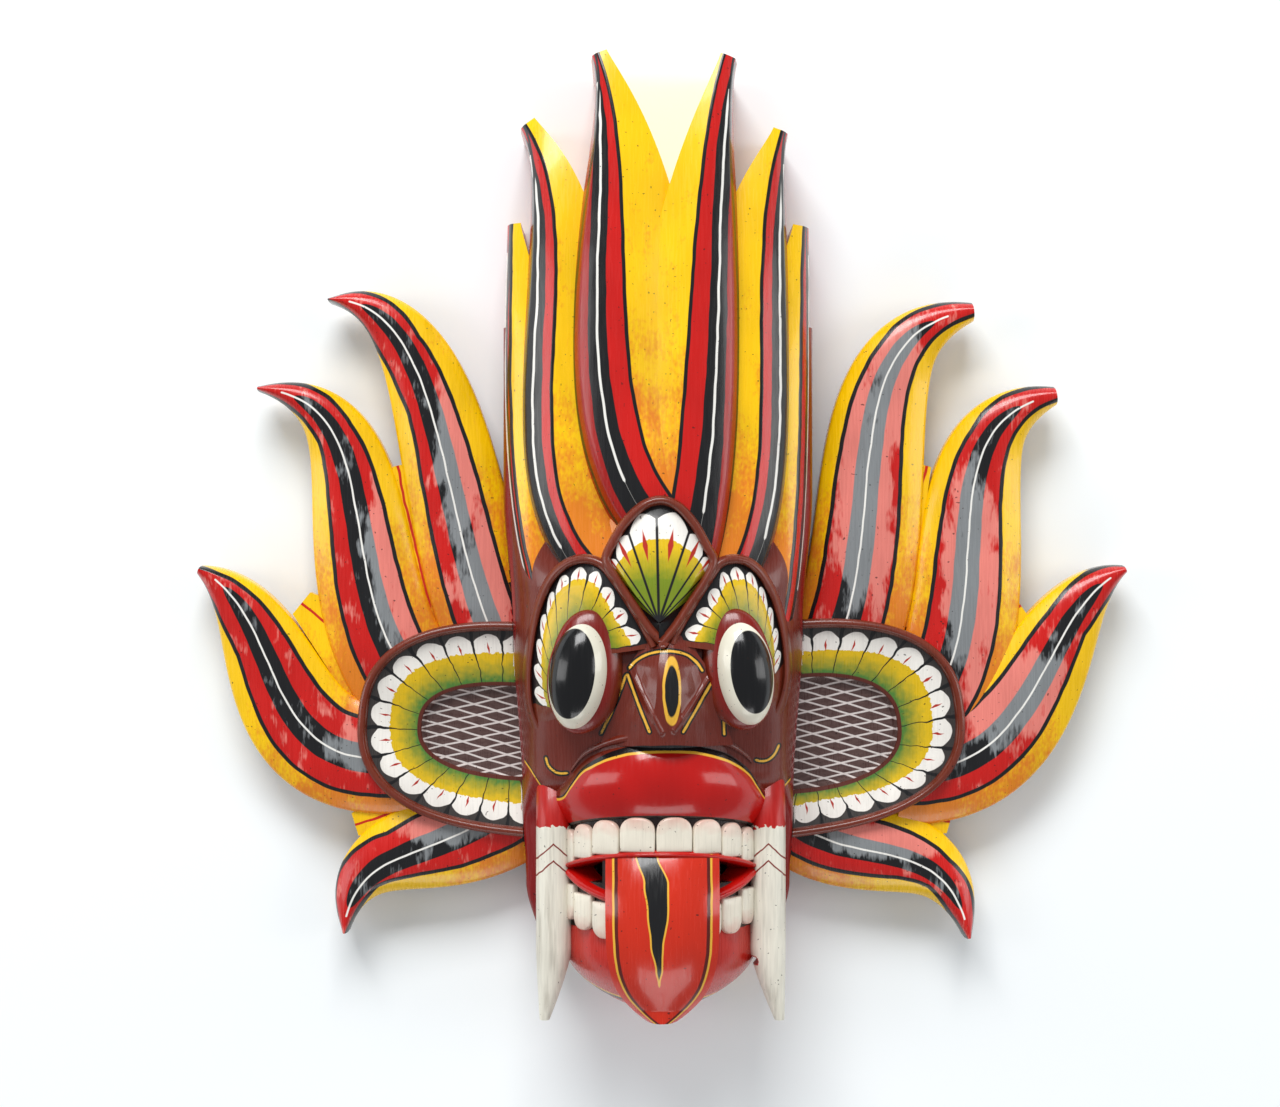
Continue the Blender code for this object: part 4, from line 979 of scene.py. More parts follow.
def make_roll():
    """The roll over the lip: it follows the muzzle's round a little above the cheeks' edge."""
    edge = smooth_curve(CHEEK_EDGE, 300)
    x = np.linspace(-38, 36.5, 160)
    y = np.interp(x, edge[:, 0], edge[:, 1]) + ROLL_ABOVE
    angle = np.arcsin(np.clip((x - MUZZLE_MIDDLE) / MUZZLE_RADIUS, -0.97, 0.97))
    z = np.maximum(MUZZLE_AXIS_HEIGHT + MUZZLE_RADIUS * np.cos(angle), log_surface(x, y))
    turn = np.linspace(0, 2 * math.pi, 25)[:-1]
    taper = np.clip(1.25 - np.abs(x) / 44, 0.3, 1)[:, None]
    grid = np.stack(
        [
            x[:, None] + 0 * turn[None],
            y[:, None] + np.cos(turn)[None] * ROLL_WIDTH / 2 * taper,
            z[:, None] + np.sin(turn)[None] * ROLL_HEIGHT * taper,
        ],
        axis=-1,
    )
    return shell("nose_roll", grid, face_bands(grid))


def nose_paint(tree):
    return face_ground(tree, CHEEK_BROWN)


nose_enamel = enamel("brown_enamel_nose", nose_paint, gloss=0.2)
for piece in (make_nose(), make_roll()):
    piece.data.materials.append(nose_enamel)
    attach(piece, "root")

# The upper lip is a broad rounded band of gloss red round the muzzle, and the lower lip a narrow
# one under the open corners of the mouth.
LIP_TOP = -83.0
LIP_FOOT = -113.0
LIP_SAG = 10.0
LIP_TOP_SAG = 20.0
LIP_BULGE = 6.0
LIP_REACH = 84.0
LIP_PROUD = 0.5
GUM_TOP = -126.0
GUM_FOOT = -129.2
GUM_SAG = 9.6
GUM_REACH = 72.0
LOWER_LIP_TOP = -146.2
LOWER_LIP_FOOT = -151.0
LOWER_LIP_RISE = 14.0
LOWER_LIP_REACH = 72.0
LOWER_LIP_BULGE = 3.6


def make_lip(name, top, foot, top_drop, foot_drop, bulge, reach):
    degrees = np.linspace(-reach, reach, 200)[:, None]
    bend = (degrees / reach) ** 2
    high = top - top_drop * bend
    low = foot - foot_drop * bend
    share = np.linspace(0, 1, 60)[None, :]
    stand = LIP_PROUD + (bulge - LIP_PROUD) * np.sin(math.pi * share) ** 0.75
    front = muzzle_points(high + (low - high) * share, degrees, stand)
    feet = [muzzle_points(edge, degrees, -CARVING_ROOT) for edge in (low, high)]
    grid = np.concatenate([front, *feet], axis=1)
    below = np.concatenate([share * (high - low), 0 * low, 0 * low], axis=1) + low * 0
    fields = face_bands(grid) | {"lip_depth": np.where(grid[..., 1] > -120, high - low - below, 9.0)}
    return shell(name, grid, fields)


def lip_paint(tree):
    colour = face_ground(tree, LIP_RED)
    foot = add_node(tree, "Math", [1.1, field(tree, "lip_depth")], operation="SUBTRACT")
    return brushed(tree, colour, linear(ENAMEL_BLACK), foot)


lip_enamel = enamel("gloss_red_enamel_lip", lip_paint, gloss=0.12, grain=0.008, wave=0.3)
upper = (LIP_TOP, LIP_FOOT, LIP_TOP_SAG, LIP_SAG, LIP_BULGE, LIP_REACH)
lower = (LOWER_LIP_TOP, LOWER_LIP_FOOT, -LOWER_LIP_RISE, -LOWER_LIP_RISE, LOWER_LIP_BULGE, LOWER_LIP_REACH)
gum = (GUM_TOP, GUM_FOOT, GUM_SAG, GUM_SAG, LOWER_LIP_BULGE, GUM_REACH)
for piece in (make_lip("upper_lip", *upper), make_lip("upper_gum", *gum), make_lip("lower_lip", *lower)):
    piece.data.materials.append(lip_enamel)
    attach(piece, "root")

# The teeth are cut one by one on the muzzle's round, arch-topped above and below, in off-white
# enamel with a pink blush where they meet the gum.
TEETH_TOP = -112.6
TEETH_FOOT = -126.8
TEETH_SAG = 13.0
TOOTH_ANGLE = 20.5
TOOTH_SHRINK = 0.87
TEETH_EACH_SIDE = 4
TEETH_MIDDLE_ANGLE = -3.0
TOOTH_STAND = 2.5
TOOTH_ROUND = 0.9
LOWER_TEETH_TOP = -150.0
LOWER_TEETH_FOOT = -165.0
TOOTH_WHITE = "#E3DCCB"
GUM_PINK = "#C98A7C"
TOOTH_OUTLINE = (
    (0.02, 0.0), (0.015, 0.6), (0.09, 0.84), (0.27, 0.97), (0.5, 1.0), (0.73, 0.97), (0.91, 0.84),
    (0.985, 0.6), (0.98, 0.0),
)


def make_tooth(name, start, end, top, foot):
    outline = smooth_curve(TOOTH_OUTLINE, 60)
    outline = np.vstack([outline, np.linspace(outline[-1], outline[0], 22)[1:-1]])
    middle = np.array([0.5, 0.5])
    rows = []
    blush = []
    for proud, inset in (
        (-CARVING_ROOT, 0.0),
        (TOOTH_STAND - 1.2, 0.0),
        (TOOTH_STAND - 0.6, 0.015),
        (TOOTH_STAND - 0.2, 0.05),
        (TOOTH_STAND, 0.12),
        (TOOTH_STAND + 0.15, 0.5),
        (TOOTH_STAND + 0.2, 0.9),
    ):
        shape = middle + (outline - middle) * (1 - inset)
        y = foot + (top - foot) * shape[:, 1]
        rows.append(muzzle_points(y, start + (end - start) * shape[:, 0], proud))
        blush.append(shape[:, 1])
    return shell(name, rows, {"gum": np.array(blush)})


def make_teeth():
    teeth = []
    for side in (-1, 1):
        start = TEETH_MIDDLE_ANGLE
        for number in range(TEETH_EACH_SIDE):
            width = TOOTH_ANGLE * TOOTH_SHRINK**number
            end = start + side * width
            sag = TEETH_SAG * (abs(start + end) / 2 / LIP_REACH) ** 2
            first, last = sorted((start, end))
            teeth.append(make_tooth(f"upper_{side}_{number}", first, last, TEETH_TOP - sag, TEETH_FOOT - sag))
            lower = (LOWER_TEETH_FOOT + sag, LOWER_TEETH_TOP + sag)
            teeth.append(make_tooth(f"lower_{side}_{number}", first, last, *lower))
            start = end
    return joined("teeth", teeth)


def teeth_paint(tree):
    gum = add_node(tree, "MapRange", [wobbled(tree, field(tree, "gum"), 0.18, 4), 0.55, 1.15, 0.0, 0.8])
    return add_node(
        tree, "Mix", {0: gum, 6: linear(TOOTH_WHITE), 7: linear(GUM_PINK)}, output=2, data_type="RGBA"
    )


teeth = make_teeth()
teeth.data.materials.append(enamel("off_white_enamel_teeth", teeth_paint, gloss=0.25, grain=0.03, wave=0.2))
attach(teeth, "root")

# The tongue rolls out over the lower lip and hangs past the chin. It is red-orange with a yellow
# and a dark line along each side and a black flame edged in yellow down its middle.
TONGUE_MIDDLE = -0.5
TONGUE_TOP = -128.0
TONGUE_TIP = -197.5
TONGUE_HALF_WIDTH = 23.2
TONGUE_TIP_HALF = 6.0
TONGUE_SQUARENESS = 6.0
TONGUE_HEIGHT = 70.0
TONGUE_BULGE = 13.0
TONGUE_ROUND = 6.0
TONGUE_THICK = 22.0
TONGUE_RED = "#C82A12"
TONGUE_EDGE = "#5A1410"
STRIPE_MIDDLE = ((-122, -7.4), (-128, -6.4), (-139, -2.6), (-151, -1.9), (-164, -2.2), (-174, -1.4), (-182, -1.2))
STRIPE_HALF = ((-122, 4.0), (-128, 4.0), (-139, 4.4), (-151, 3.7), (-164, 2.1), (-174, 0.9), (-180, -0.2), (-186, -3))


def make_tongue():
    share = np.linspace(0, 1, 160)
    y = TONGUE_TOP - (TONGUE_TOP - TONGUE_TIP) * share
    half = TONGUE_TIP_HALF + (TONGUE_HALF_WIDTH - TONGUE_TIP_HALF) * (1 - share**TONGUE_SQUARENESS)
    middle = TONGUE_HEIGHT + TONGUE_BULGE * np.sin(math.pi * np.minimum(1, 0.12 + share * 0.95))
    across = np.sin(np.linspace(-1, 1, 110) * math.pi / 2)[None]
    x = TONGUE_MIDDLE + half[:, None] * across
    z = middle[:, None] - TONGUE_ROUND * np.abs(across) ** 2.4
    top = np.stack([x, np.broadcast_to(y[:, None], x.shape), z], axis=-1)
    thick = TONGUE_THICK * (1 - 0.35 * share)
    feet = []
    for side in (0.9, -0.9):
        feet.append(np.stack([TONGUE_MIDDLE + half * side, y, middle - thick], axis=-1)[:, None])
    grid = np.concatenate([top, *feet], axis=1)
    side = grid[..., 0] - TONGUE_MIDDLE
    rows = grid[..., 1]
    fields = {
        "margin": half[:, None] - np.abs(side),
        "stripe": side - eased(STRIPE_MIDDLE, rows),
        "stripe_half": eased(STRIPE_HALF, rows),
    }
    return shell("tongue", grid, fields)


def tongue_paint(tree):
    margin = wobbled(tree, field(tree, "margin"), 0.3, 9)
    stripe = wobbled(tree, field(tree, "stripe"), 0.35, 9)
    half = field(tree, "stripe_half")
    colour = linear(TONGUE_RED)
    outline = add_node(tree, "Math", [margin, 4.4], operation="SUBTRACT")
    colour = brushed(tree, colour, linear(TONGUE_EDGE), band_cover(tree, outline, 0.75))
    outline = add_node(tree, "Math", [margin, 3.3], operation="SUBTRACT")
    colour = brushed(tree, colour, linear(LINE_YELLOW), band_cover(tree, outline, 0.45))
    wide = add_node(tree, "Math", [half, 0.7], operation="ADD")
    colour = brushed(tree, colour, linear(LINE_YELLOW), band_cover(tree, stripe, wide))
    return brushed(tree, colour, linear(ENAMEL_BLACK), band_cover(tree, stripe, half))


tongue = make_tongue()
tongue.data.materials.append(enamel("red_orange_enamel_tongue", tongue_paint, gloss=0.15, grain=0.02, wave=0.3))
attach(tongue, "root")

# The tusks hang from the corners of the upper lip past the chin, in off-white enamel through which
# the grain shows. The right one has a small hole drilled through it.
TUSK_TOP = -98.0
TUSK_TIP = -200.0
TUSK_HALF_WIDTH = 7.6
TUSK_HEIGHT = 45.0
TUSK_SINK = 9.0
TUSK_SINK_SHARE = 0.25
TUSK_HALF_DEPTH = 9.0
TUSK_MIDDLES = (-45.4, 43.6)
TUSK_TIP_SHIFTS = (-4.0, 5.0)
TUSK_HOLE = 3.7
TUSK_HOLE_PLACE = (37.6, -175.0)
TUSK_WHITE = "#E2DECF"
TUSK_RED = "#B3120C"
TUSK_LINE = "#7E2318"


def make_tusk(name, middle, shift):
    share = np.linspace(0, 1, 120)
    y = TUSK_TOP + (TUSK_TIP - TUSK_TOP) * share
    late = np.maximum(0, share - 0.7) / 0.3
    half = (TUSK_HALF_WIDTH * (1 - 0.72 * late**1.3))[:, None]
    deep = (TUSK_HALF_DEPTH * (1 - 0.6 * late**1.5))[:, None]
    centre = (middle + shift * late**1.3)[:, None]
    angle = np.linspace(0, 2 * math.pi, 73)[None, :-1]
    x = centre + np.sign(np.cos(angle)) * np.abs(np.cos(angle)) ** 0.8 * half
    early = np.maximum(0, 1 - share / TUSK_SINK_SHARE)[:, None]
    height = TUSK_HEIGHT - TUSK_SINK * early * early
    z = height + np.sign(np.sin(angle)) * np.abs(np.sin(angle)) ** 0.8 * deep
    rows = np.broadcast_to(y[:, None], x.shape)
    return shell(name, np.stack([x, rows, z], axis=-1), {"row": rows, "off": np.abs(x - centre)})


def drill(place, width):
    turn = np.linspace(0, 2 * math.pi, 33)[:-1]
    ring = [place[0] + width / 2 * np.cos(turn), place[1] + width / 2 * np.sin(turn)]
    return shell("drill", [np.stack([*ring, 0 * turn + z], axis=-1) for z in (20.0, 80.0)])


def tusk_paint(tree):
    cloud = add_node(tree, "TexNoise", {"Vector": place_mm(tree, 2.2, 30, 4), "Scale": 1.0, "Detail": 3.0})
    worn = add_node(tree, "MapRange", [cloud, 0.52, 0.72, 0.0, 0.5])
    colour = add_node(
        tree, "Mix", {0: worn, 6: linear(TUSK_WHITE), 7: linear("#A8A090")}, output=2, data_type="RGBA"
    )
    row = field(tree, "row")
    root = add_node(tree, "Math", [wobbled(tree, row, 2.6, 2.2), 119.0], operation="ADD")
    colour = brushed(tree, colour, linear(TUSK_RED), root)
    for arch in (126.0, 133.0):
        bend = add_node(tree, "Math", [field(tree, "off"), 0.9, arch], operation="MULTIPLY_ADD")
        bend = add_node(tree, "Math", [wobbled(tree, row, 0.5, 4), bend], operation="ADD")
        colour = brushed(tree, colour, linear(TUSK_LINE), band_cover(tree, bend, 0.4))
    return colour


tusk_enamel = enamel("off_white_enamel_tusk", tusk_paint, gloss=0.3, grain=0.06, wave=0.4)
for number, (middle, shift) in enumerate(zip(TUSK_MIDDLES, TUSK_TIP_SHIFTS)):
    tusk = make_tusk(f"tusk_{number + 1}", middle, shift)
    if number == 1:
        gouged(tusk, [drill(TUSK_HOLE_PLACE, TUSK_HOLE)])
    tusk.data.materials.append(tusk_enamel)
    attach(tusk, "root")

# Each ear wing is a board that butts against the log's side, cut out as an ear with four flames
# round it. The ear has a raised brown rim, petals on a dark ground and a sunken oval hatched in
# white. The flames have yellow edges, black outlines, red stripes and a black one with a white line.
WING_REACH = 198.0
WING_BACK = 8.5
WING_EDGE = 17.5
WING_CREST = 23.0
WING_CLEARANCE = 0.3
EAR_RIM = 27.0
EAR_GROUND = 23.5
EAR_POWER = 2.5
BOWL_EDGE = 19.5
BOWL_SLOPE = 2.0
BOWL_ROUND = 9.0
BOWL_FLOOR = 14.7
WEB_BACK = 9.5
WEB_FRONT = 16.5
WING_TOP = 60.0
WING_FOOT = -165.0
EAR_PETAL = 14.6
LEFT_WING = dict(
    side=-1,
    ear=dict(middle=(-55, -81), half=(75, 45.5), tilt=-5),
    bowl=dict(middle=(-60, -82), half=(41.5, 17.5), tilt=-4),
    flames=(
        dict(
            path=((-0.343, -0.253), (-0.49, 0.02), (-0.455, 0.525), (-0.722, 0.52)),
            left=(0.1061, 0.004, 2.6),
            right=(0.1162, 0.004, 3.2),
            margins=(0.37, 0.43),
            ends=(0.80, 0.97),
        ),
        dict(
            path=((-0.515, -0.333), (-0.737, -0.101), (-0.566, 0.303), (-0.874, 0.328)),
            left=(0.1263, 0.0061, 2.1),
            right=(0.1111, 0.0061, 3),
            margins=(0.36, 0.36),
            ends=(0.97, 0.97),
        ),
        dict(
            path=((-0.525, -0.465), (-0.889, -0.525), (-0.793, -0.172), (-1, -0.061)),
            left=(0.1212, 0.0152, 3),
            right=(0.1212, 0.0076, 3),
            margins=(0.34, 0.30),
            ends=(0.92, 1.2),
        ),
        dict(
            path=((-0.313, -0.545), (-0.465, -0.707), (-0.667, -0.636), (-0.687, -0.848)),
            left=(0.1364, 0.0061, 1.3),
            right=(0.1061, 0.0061, 3.2),
            margins=(0.36, 0.30),
            ends=(0.97, 0.80),
        ),
    ),
    webs=(
        ((-96, -45), (-114, 32), 11, 2),
        ((-112, -62), (-155, -27), 24, 6),
        ((-100, -112), (-132, -122), 14, 5),
    ),
    # Spots of painted glare, the light's reflection painted on the enamel: (x, y, half width, half height).
    painted_glare=(
        (-86, 45, 13, 62), (-74, -15, 16, 40), (-116, 0, 12, 48), (-104, -30, 18, 26),
        (-126, -88, 22, 12), (-92, -122, 24, 9),
    ),
)
RIGHT_WING = dict(
    side=1,
    ear=dict(middle=(50, -81), half=(79, 46), tilt=7),
    bowl=dict(middle=(56, -83), half=(43, 22), tilt=6),
    flames=(
        dict(
            path=((0.354, -0.273), (0.51, 0.01), (0.343, 0.455), (0.672, 0.495)),
            left=(0.1061, 0.0202, 2.8),
            right=(0.1313, 0.0202, 3.4),
            margins=(0.30, 0.40),
            ends=(1.0, 1.2),
        ),
        dict(
            path=((0.566, -0.364), (0.747, -0.152), (0.545, 0.263), (0.851, 0.313)),
            left=(0.1111, 0.0202, 2.8),
            right=(0.1263, 0.0202, 3.4),
            margins=(0.34, 0.38),
            ends=(1.0, 1.2),
        ),
        dict(
            path=((0.515, -0.495), (0.833, -0.51), (0.808, -0.141), (1, -0.063)),
            left=(0.1212, 0.0101, 2.9),
            right=(0.1212, 0.0101, 2.7),
            margins=(0.30, 0.40),
            ends=(0.97, 0.97),
        ),
        dict(
            path=((0.283, -0.606), (0.424, -0.717), (0.616, -0.616), (0.662, -0.859)),
            left=(0.1061, 0.0076, 3.2),
            right=(0.096, 0.0076, 2.6),
            margins=(0.34, 0.38),
            ends=(0.97, 0.97),
        ),
    ),
    webs=(
        ((94, -44), (113.5, 32), 11, 2),
        ((108, -60), (154, -28), 24, 6),
        ((96, -113), (123.5, -121), 14, 5),
    ),
    # Spots of painted glare, the light's reflection painted on the enamel: (x, y, half width, half height).
    painted_glare=(
        (86, 20, 16, 70), (132, -14, 16, 56), (150, -66, 30, 26), (100, 72, 14, 36), (100, -128, 34, 10),
    ),
)
# Pale pink and grey are painted reflection: the flames' red and black where the light's glare is painted on.
GLARE_ON_RED = "#E88A7E"
GLARE_ON_BLACK = "#8C9092"
EAR_GROUND_GREY = "#3A3634"
EAR_GREEN = "#4E7E34"
BOWL_GREY = "#6A5450"
BOWL_BROWN = "#3A1E1A"


def wing_height(flame, x, share, side, half):
    """Front of a wing flame: a flat crest that falls to softly rounded edges."""
    reach = np.abs(side) / half
    soft = np.clip((np.abs(side) - half + 1.2) / 1.2, 0, 1)
    return WING_CREST - (WING_CREST - WING_EDGE) * reach**2.5 - 1.0 * (1 - np.sqrt(1 - soft**2))


def wing_foot(x, y):
    return 0 * x + WING_BACK


def log_side():
    """A cutter as wide as the log with the clearance that the wings keep."""
    y = np.linspace(WING_FOOT, WING_TOP, 120)
    reach = eased(LOG_HALF_WIDTHS, y) + WING_CLEARANCE
    corners = ((1, -5.0), (1, 60.0), (-1, 60.0), (-1, -5.0))
    return shell("log_side", [[(LOG_MIDDLE + s * r, v, h) for s, h in corners] for v, r in zip(y, reach)])


def ear_room(wing):
    """A cutter inside the ear's rim, where the ear takes the place of the flames' roots."""
    turn = np.linspace(0, 2 * math.pi, 241)[:-1]
    outline = oval(wing["ear"], turn, -RIM_WIDTH / 2, EAR_POWER)
    return shell("ear_room", [np.column_stack([outline, 0 * turn + height]) for height in (-5.0, 60.0)])


def painted_glare_field(grid, spots):
    """How strongly glare is painted on the enamel, as a painted reflection of the light, from spots of (x, y, half
    width, half height).
    """
    reach = [((grid[..., 0] - x) / w) ** 2 + ((grid[..., 1] - y) / h) ** 2 for x, y, w, h in spots]
    return np.clip(1 - np.min(reach, axis=0), 0, 1)


def painted_glare_share(tree):
    """How much painted glare, a painted reflection of the light, pales the enamel, in streaks up the grain."""
    cloud = add_node(tree, "TexNoise", {"Vector": place_mm(tree, 6, 13, 7), "Scale": 1.0, "Detail": 2.0})
    streak = add_node(tree, "TexNoise", {"Vector": place_mm(tree, 0.9, 4.5, 2), "Scale": 1.0, "Detail": 4.0})
    amount = add_node(tree, "Math", [field(tree, "painted_glare"), 0.55, cloud], operation="MULTIPLY_ADD")
    amount = add_node(tree, "Math", [streak, 0.5, amount], operation="MULTIPLY_ADD")
    return add_node(tree, "MapRange", [amount, 0.84, 1.02, 0.0, 0.85])


def make_wing_flames(name, wing):
    flames = []
    for number, flame in enumerate(wing["flames"]):
        grid, fields = flame_grid(flame, WING_REACH, 180, 56, 1.0, wing_height, wing_foot)
        share, side, edge = fields["share"], fields["side"], fields["edge"]
        margin = np.where(side >= 0, flame["margins"][0], flame["margins"][1])
        ends = np.where(side >= 0, flame["ends"][0], flame["ends"][1])
        fade = np.clip((ends - share) / 0.25, 0, 1)
        full = np.where(side >= 0, flame["left"][0], flame["right"][0]) * WING_REACH
        taper = np.sqrt(np.clip(1 - (share / 0.90) ** 8, 0, 1)) - 0.3 * (share > 0.9)
        made = {
            "side": side,
            "edge": edge,
            "margin": margin * np.minimum(full, fields["half"] + 3) * fade,
            "band": 0.21 * full.mean() * (1.28 - 0.45 * share) * taper,
            "line": np.where(share < 0.94, 0.38, -0.3),
            "root": np.clip(1 - share / 0.5, 0, 1) ** 0.8,
            # Where the light's glare is painted on, as painted reflection.
            "painted_glare": painted_glare_field(grid, wing["painted_glare"]),
        }
        tongue_of_fire = shell(f"{name}_{number + 1}", grid, made)
        gouged(tongue_of_fire, [ear_room(wing), log_side()])
        flames.append(tongue_of_fire)
    return joined(name, flames)


def make_webs(name, wing):
    """The flat ground between two flames, which narrows from the ear out to the notch."""
    webs = []
    for number, (root, notch, wide, narrow) in enumerate(wing["webs"]):
        root, notch = np.array(root, float), np.array(notch, float)
        run = (notch - root) / np.linalg.norm(notch - root)
        share = np.linspace(0, 1, 60)[:, None]
        across = np.linspace(1, -1, 24)[None]
        half = wide + (narrow - wide) * share
        side = half * across
        middle = root + (notch - root) * share
        x = middle[:, :1] - run[1] * side
        y = middle[:, 1:] + run[0] * side
        front = np.stack([x, y, WEB_FRONT + 0 * x], axis=-1)
        back = front[:, [-1, 0]].copy()
        back[..., 2] = WEB_BACK
        fields = {"side": np.concatenate([side, side[:, [-1, 0]]], axis=1)}
        fields["root"] = 0 * fields["side"] + 0.75 * (1 - share)
        web = shell(f"{name}_{number + 1}", np.concatenate([front, back], axis=1), fields)
        gouged(web, [ear_room(wing), log_side()])
        webs.append(web)
    return joined(name, webs)


def web_paint(tree):
    colour = speckled_yellow(tree, field(tree, "root"))
    middle = wobbled(tree, field(tree, "side"), 0.8, 9)
    return brushed(tree, colour, linear(FLAME_RED), band_cover(tree, middle, 0.55))


def wing_flame_paint(tree):
    side = wobbled(tree, field(tree, "side"), 0.45, 12)
    edge = field(tree, "edge")
    margin = wobbled(tree, field(tree, "margin"), 0.5, 11)
    within = add_node(tree, "Math", [edge, margin], operation="SUBTRACT")
    band = band_cover(tree, side, field(tree, "band"))
    colour = brushed(tree, linear(FLAME_RED), linear(ENAMEL_BLACK), band)
    # Painted reflection: the red and the black pale to pink and grey where the light's glare is painted on.
    painted_glare = brushed(tree, linear(GLARE_ON_RED), linear(GLARE_ON_BLACK), band)
    colour = add_node(
        tree, "Mix", {0: painted_glare_share(tree), 6: colour, 7: painted_glare}, output=2, data_type="RGBA"
    )
    colour = brushed(tree, colour, linear(WHITE_LINE), band_cover(tree, side, field(tree, "line")))
    outside = add_node(tree, "Math", [within, -1.0], operation="MULTIPLY")
    colour = brushed(tree, colour, speckled_yellow(tree, field(tree, "root")), outside)
    return brushed(tree, colour, linear(ENAMEL_BLACK), band_cover(tree, within, 0.85))


def make_ear(name, wing):
    """The ear from its rim in to the sunken oval."""
    angle = (math.pi if wing["side"] > 0 else 0.0) + np.linspace(0, 2 * math.pi, 481)[:-1]
    outer = oval(wing["ear"], angle, 0, EAR_POWER)
    inner = oval(wing["bowl"], angle, BOWL_SLOPE, EAR_POWER)
    length = np.linalg.norm(inner - outer, axis=1)
    toward = (inner - outer) / length[:, None]
    rim = np.linspace(0, RIM_WIDTH, 11)
    rim_points = outer[None] + toward[None] * rim[:, None, None]
    shares = np.linspace(0.01, 1, 60)[:, None]
    field_points = rim_points[-1][None] * (1 - shares[..., None]) + inner[None] * shares[..., None]
    span = np.linalg.norm(inner - rim_points[-1], axis=1)[None]
    depth = shares * span
    round_part = np.sqrt(np.clip(1 - (2 * rim / RIM_WIDTH - 1) ** 2, 0, 1))
    rim_height = np.where(rim < RIM_WIDTH / 2, EAR_RIM - 2.0, EAR_GROUND)
    rim_height = rim_height + (EAR_RIM - rim_height) * round_part
    slope = np.linspace(0, 1, 8)[1:, None, None]
    bowl_points = oval(wing["bowl"], angle, 0, EAR_POWER)
    wall_points = inner[None] * (1 - slope) + bowl_points[None] * slope
    floor_points = oval(wing["bowl"], angle, -BOWL_ROUND, EAR_POWER)
    floor_points = bowl_points[None] * (1 - slope) + floor_points[None] * slope
    points = np.concatenate([outer[None], rim_points, field_points, wall_points, floor_points])
    heights = np.concatenate(
        [
            [WING_BACK],
            rim_height,
            EAR_GROUND + (BOWL_EDGE - EAR_GROUND) * shares[:, 0],
            BOWL_EDGE + (BOWL_FLOOR + 1.3 - BOWL_EDGE) * slope.ravel(),
            BOWL_FLOOR + 1.3 * (1 - slope.ravel()),
        ]
    )
    grid = np.concatenate([points, (heights[:, None] + 0 * angle)[..., None]], axis=-1)
    whole = np.repeat(span, 7, axis=0)
    depths = np.concatenate(
        [[-RIM_WIDTH + 0 * length], rim[:, None] - RIM_WIDTH + 0 * length, depth]
        + [whole + slope[..., 0] * BOWL_SLOPE, whole + BOWL_SLOPE + slope[..., 0] * BOWL_ROUND]
    )
    spans = np.broadcast_to(span, depths.shape)
    arc = np.broadcast_to(arc_length(outer), depths.shape)
    fields = {
        "petal": arc / EAR_PETAL,
        "pitch": np.full(arc.shape, EAR_PETAL),
        "depth": depths,
        "span": spans,
        "bowl": depths - spans,
    }
    ear = shell(name, grid, fields)
    gouged(ear, [log_side()])
    return ear


def ear_paint(tree):
    colour = petals(tree, 100, EAR_GROUND_GREY, white=8.2, green=EAR_GREEN, green_from=0.52, green_to=0.92)
    bowl = field(tree, "bowl")
    weave = add_node(tree, "TexNoise", {"Vector": place_mm(tree, 3, 1.2, 3), "Scale": 1.0, "Detail": 3.0})
    hollow = add_node(
        tree, "Mix", {0: weave, 6: linear(BOWL_BROWN), 7: linear(BOWL_GREY)}, output=2, data_type="RGBA"
    )
    for slant, gap in ((0.30, 4.4), (-0.22, 5.0)):
        across = add_node(tree, "VectorMath", [place_mm(tree), (slant, 1.0, 0.0)], output=1, operation="DOT_PRODUCT")
        across = wobbled(tree, across, 0.6, 14)
        across = add_node(tree, "Math", [across, gap], operation="FLOORED_MODULO")
        across = add_node(tree, "Math", [across, gap / 2], operation="SUBTRACT")
        hollow = brushed(tree, hollow, linear("#D8D0CC"), band_cover(tree, across, 0.38))
    colour = brushed(tree, colour, hollow, bowl)
    rim = add_node(tree, "Math", [bowl, -0.6], operation="SUBTRACT")
    return brushed(tree, colour, linear("#5A2418"), band_cover(tree, rim, 0.9))


flame_enamel = enamel(
    "flame_enamel_wing", wing_flame_paint, gloss=0.2, grain=0.04, wave=0.5, back_height=WING_BACK + 0.2
)
web_enamel = enamel("yellow_enamel_web", web_paint, gloss=0.22, back_height=WEB_BACK + 0.2)
ear_enamel = enamel("petal_enamel_ear", ear_paint, gloss=0.25, grain=0.03, wave=0.3, back_height=WING_BACK + 0.2)
for name, wing in (("left", LEFT_WING), ("right", RIGHT_WING)):
    flames = make_wing_flames(f"{name}_wing_flames", wing)
    webs = make_webs(f"{name}_wing_webs", wing)
    ear = make_ear(f"{name}_ear", wing)
    flames.data.materials.append(flame_enamel)
    webs.data.materials.append(web_enamel)
    ear.data.materials.append(ear_enamel)
    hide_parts(f"{name}_ear_wing")
    for piece in (flames, webs, ear):
        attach(piece, "root")

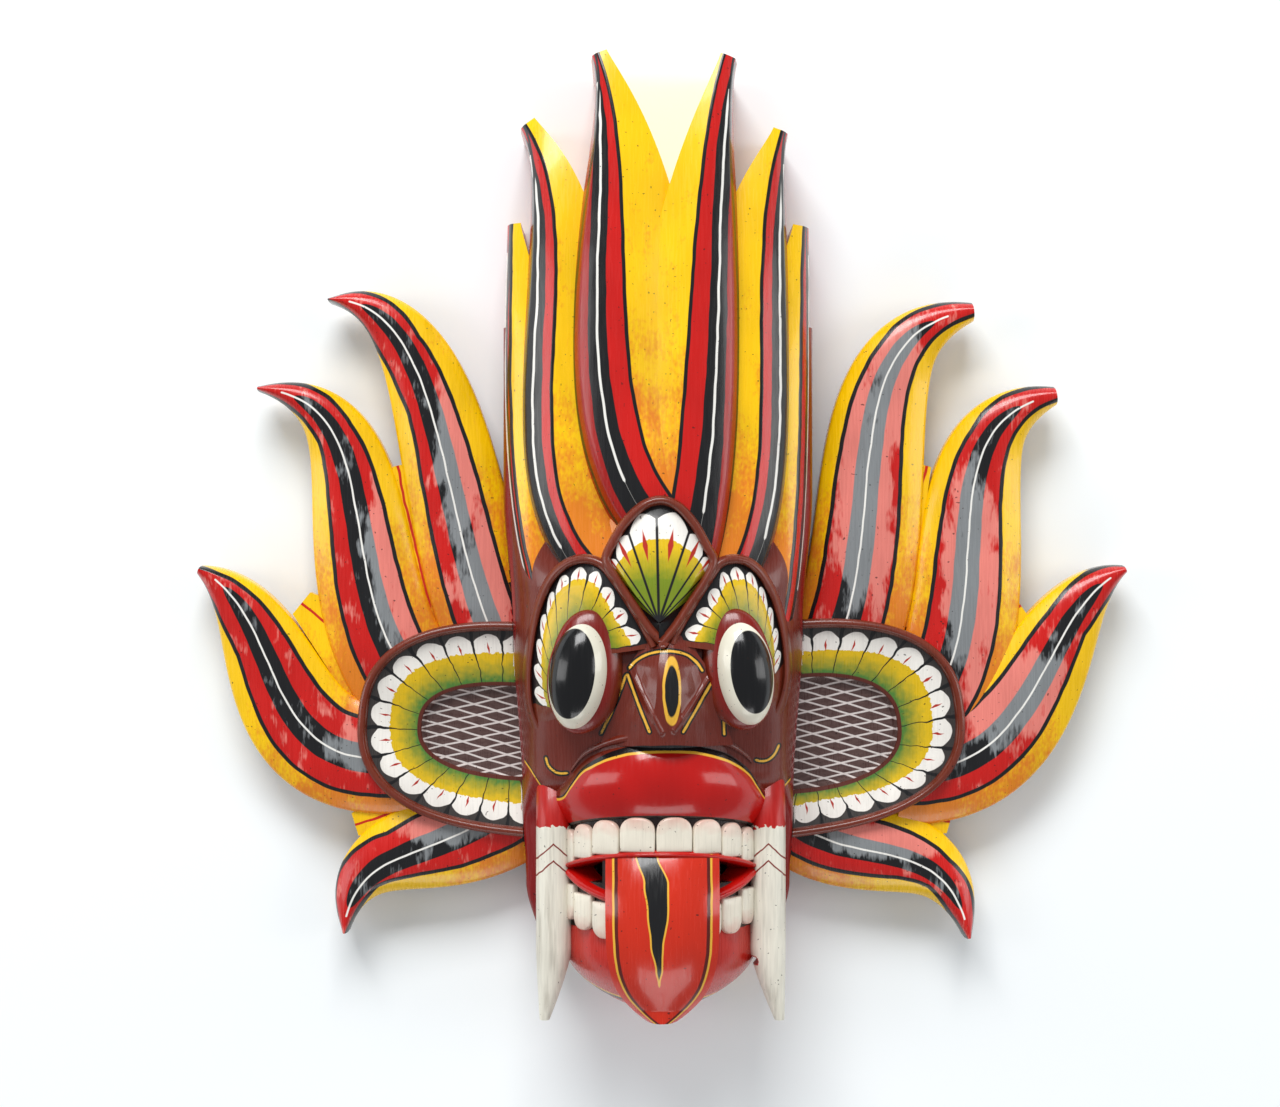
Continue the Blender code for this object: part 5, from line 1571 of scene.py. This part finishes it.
# The mask lies on its back on a plain pale table under a large soft light, seen from above.
CAMERA_PLACE = (-9.6, -5.65, 1060.0)
CAMERA_LENS = 68.35
SENSOR_WIDTH = 36.0
TABLE_HALF = 6.0
TABLE_TINT = "#F2F6F7"


def make_table():
    mesh = bpy.data.meshes.new("table")
    corners = [(-TABLE_HALF, -TABLE_HALF, 0), (TABLE_HALF, -TABLE_HALF, 0), (TABLE_HALF, TABLE_HALF, 0), (-TABLE_HALF, TABLE_HALF, 0)]
    mesh.from_pydata(corners, [], [(0, 1, 2, 3)])
    table = bpy.data.objects.new("table", mesh)
    bpy.context.scene.collection.objects.link(table)
    material = bpy.data.materials.new("matt_white_table")
    material.use_nodes = True
    surface = material.node_tree.nodes["Principled BSDF"]
    surface.inputs["Base Color"].default_value = linear(TABLE_TINT)
    surface.inputs["Roughness"].default_value = 0.9
    mesh.materials.append(material)
    return table


def soft_light(name, place, size, power, aim=(0, 0, 0)):
    light = bpy.data.lights.new(name, "AREA")
    light.shape = "RECTANGLE"
    light.size, light.size_y = size
    light.energy = power
    lamp = bpy.data.objects.new(name, light)
    lamp.location = place
    lamp.rotation_euler = (Vector(aim) - Vector(place)).to_track_quat("-Z", "Y").to_euler()
    bpy.context.scene.collection.objects.link(lamp)
    return lamp


make_table()
soft_light("window", (-0.35, 1.95, 1.5), (1.6, 1.0), 64)
soft_light("left_screen", (-1.9, 0.2, 0.85), (0.7, 1.5), 11)
soft_light("right_screen", (1.9, 0.2, 0.85), (0.7, 1.5), 11)
soft_light("near_screen", (0.1, -1.9, 1.0), (1.6, 0.6), 9)
world = bpy.data.worlds.new("pale_room")
world.use_nodes = True
world.node_tree.nodes["Background"].inputs["Color"].default_value = (0.93, 0.96, 1.0, 1)
world.node_tree.nodes["Background"].inputs["Strength"].default_value = 0.36
bpy.context.scene.world = world
bpy.context.scene.view_settings.view_transform = "Standard"

lens = bpy.data.cameras.new("camera")
lens.lens = CAMERA_LENS
lens.sensor_width = SENSOR_WIDTH
camera = bpy.data.objects.new("camera", lens)
camera.location = Vector(CAMERA_PLACE) * MM
bpy.context.scene.collection.objects.link(camera)
bpy.context.scene.camera = camera
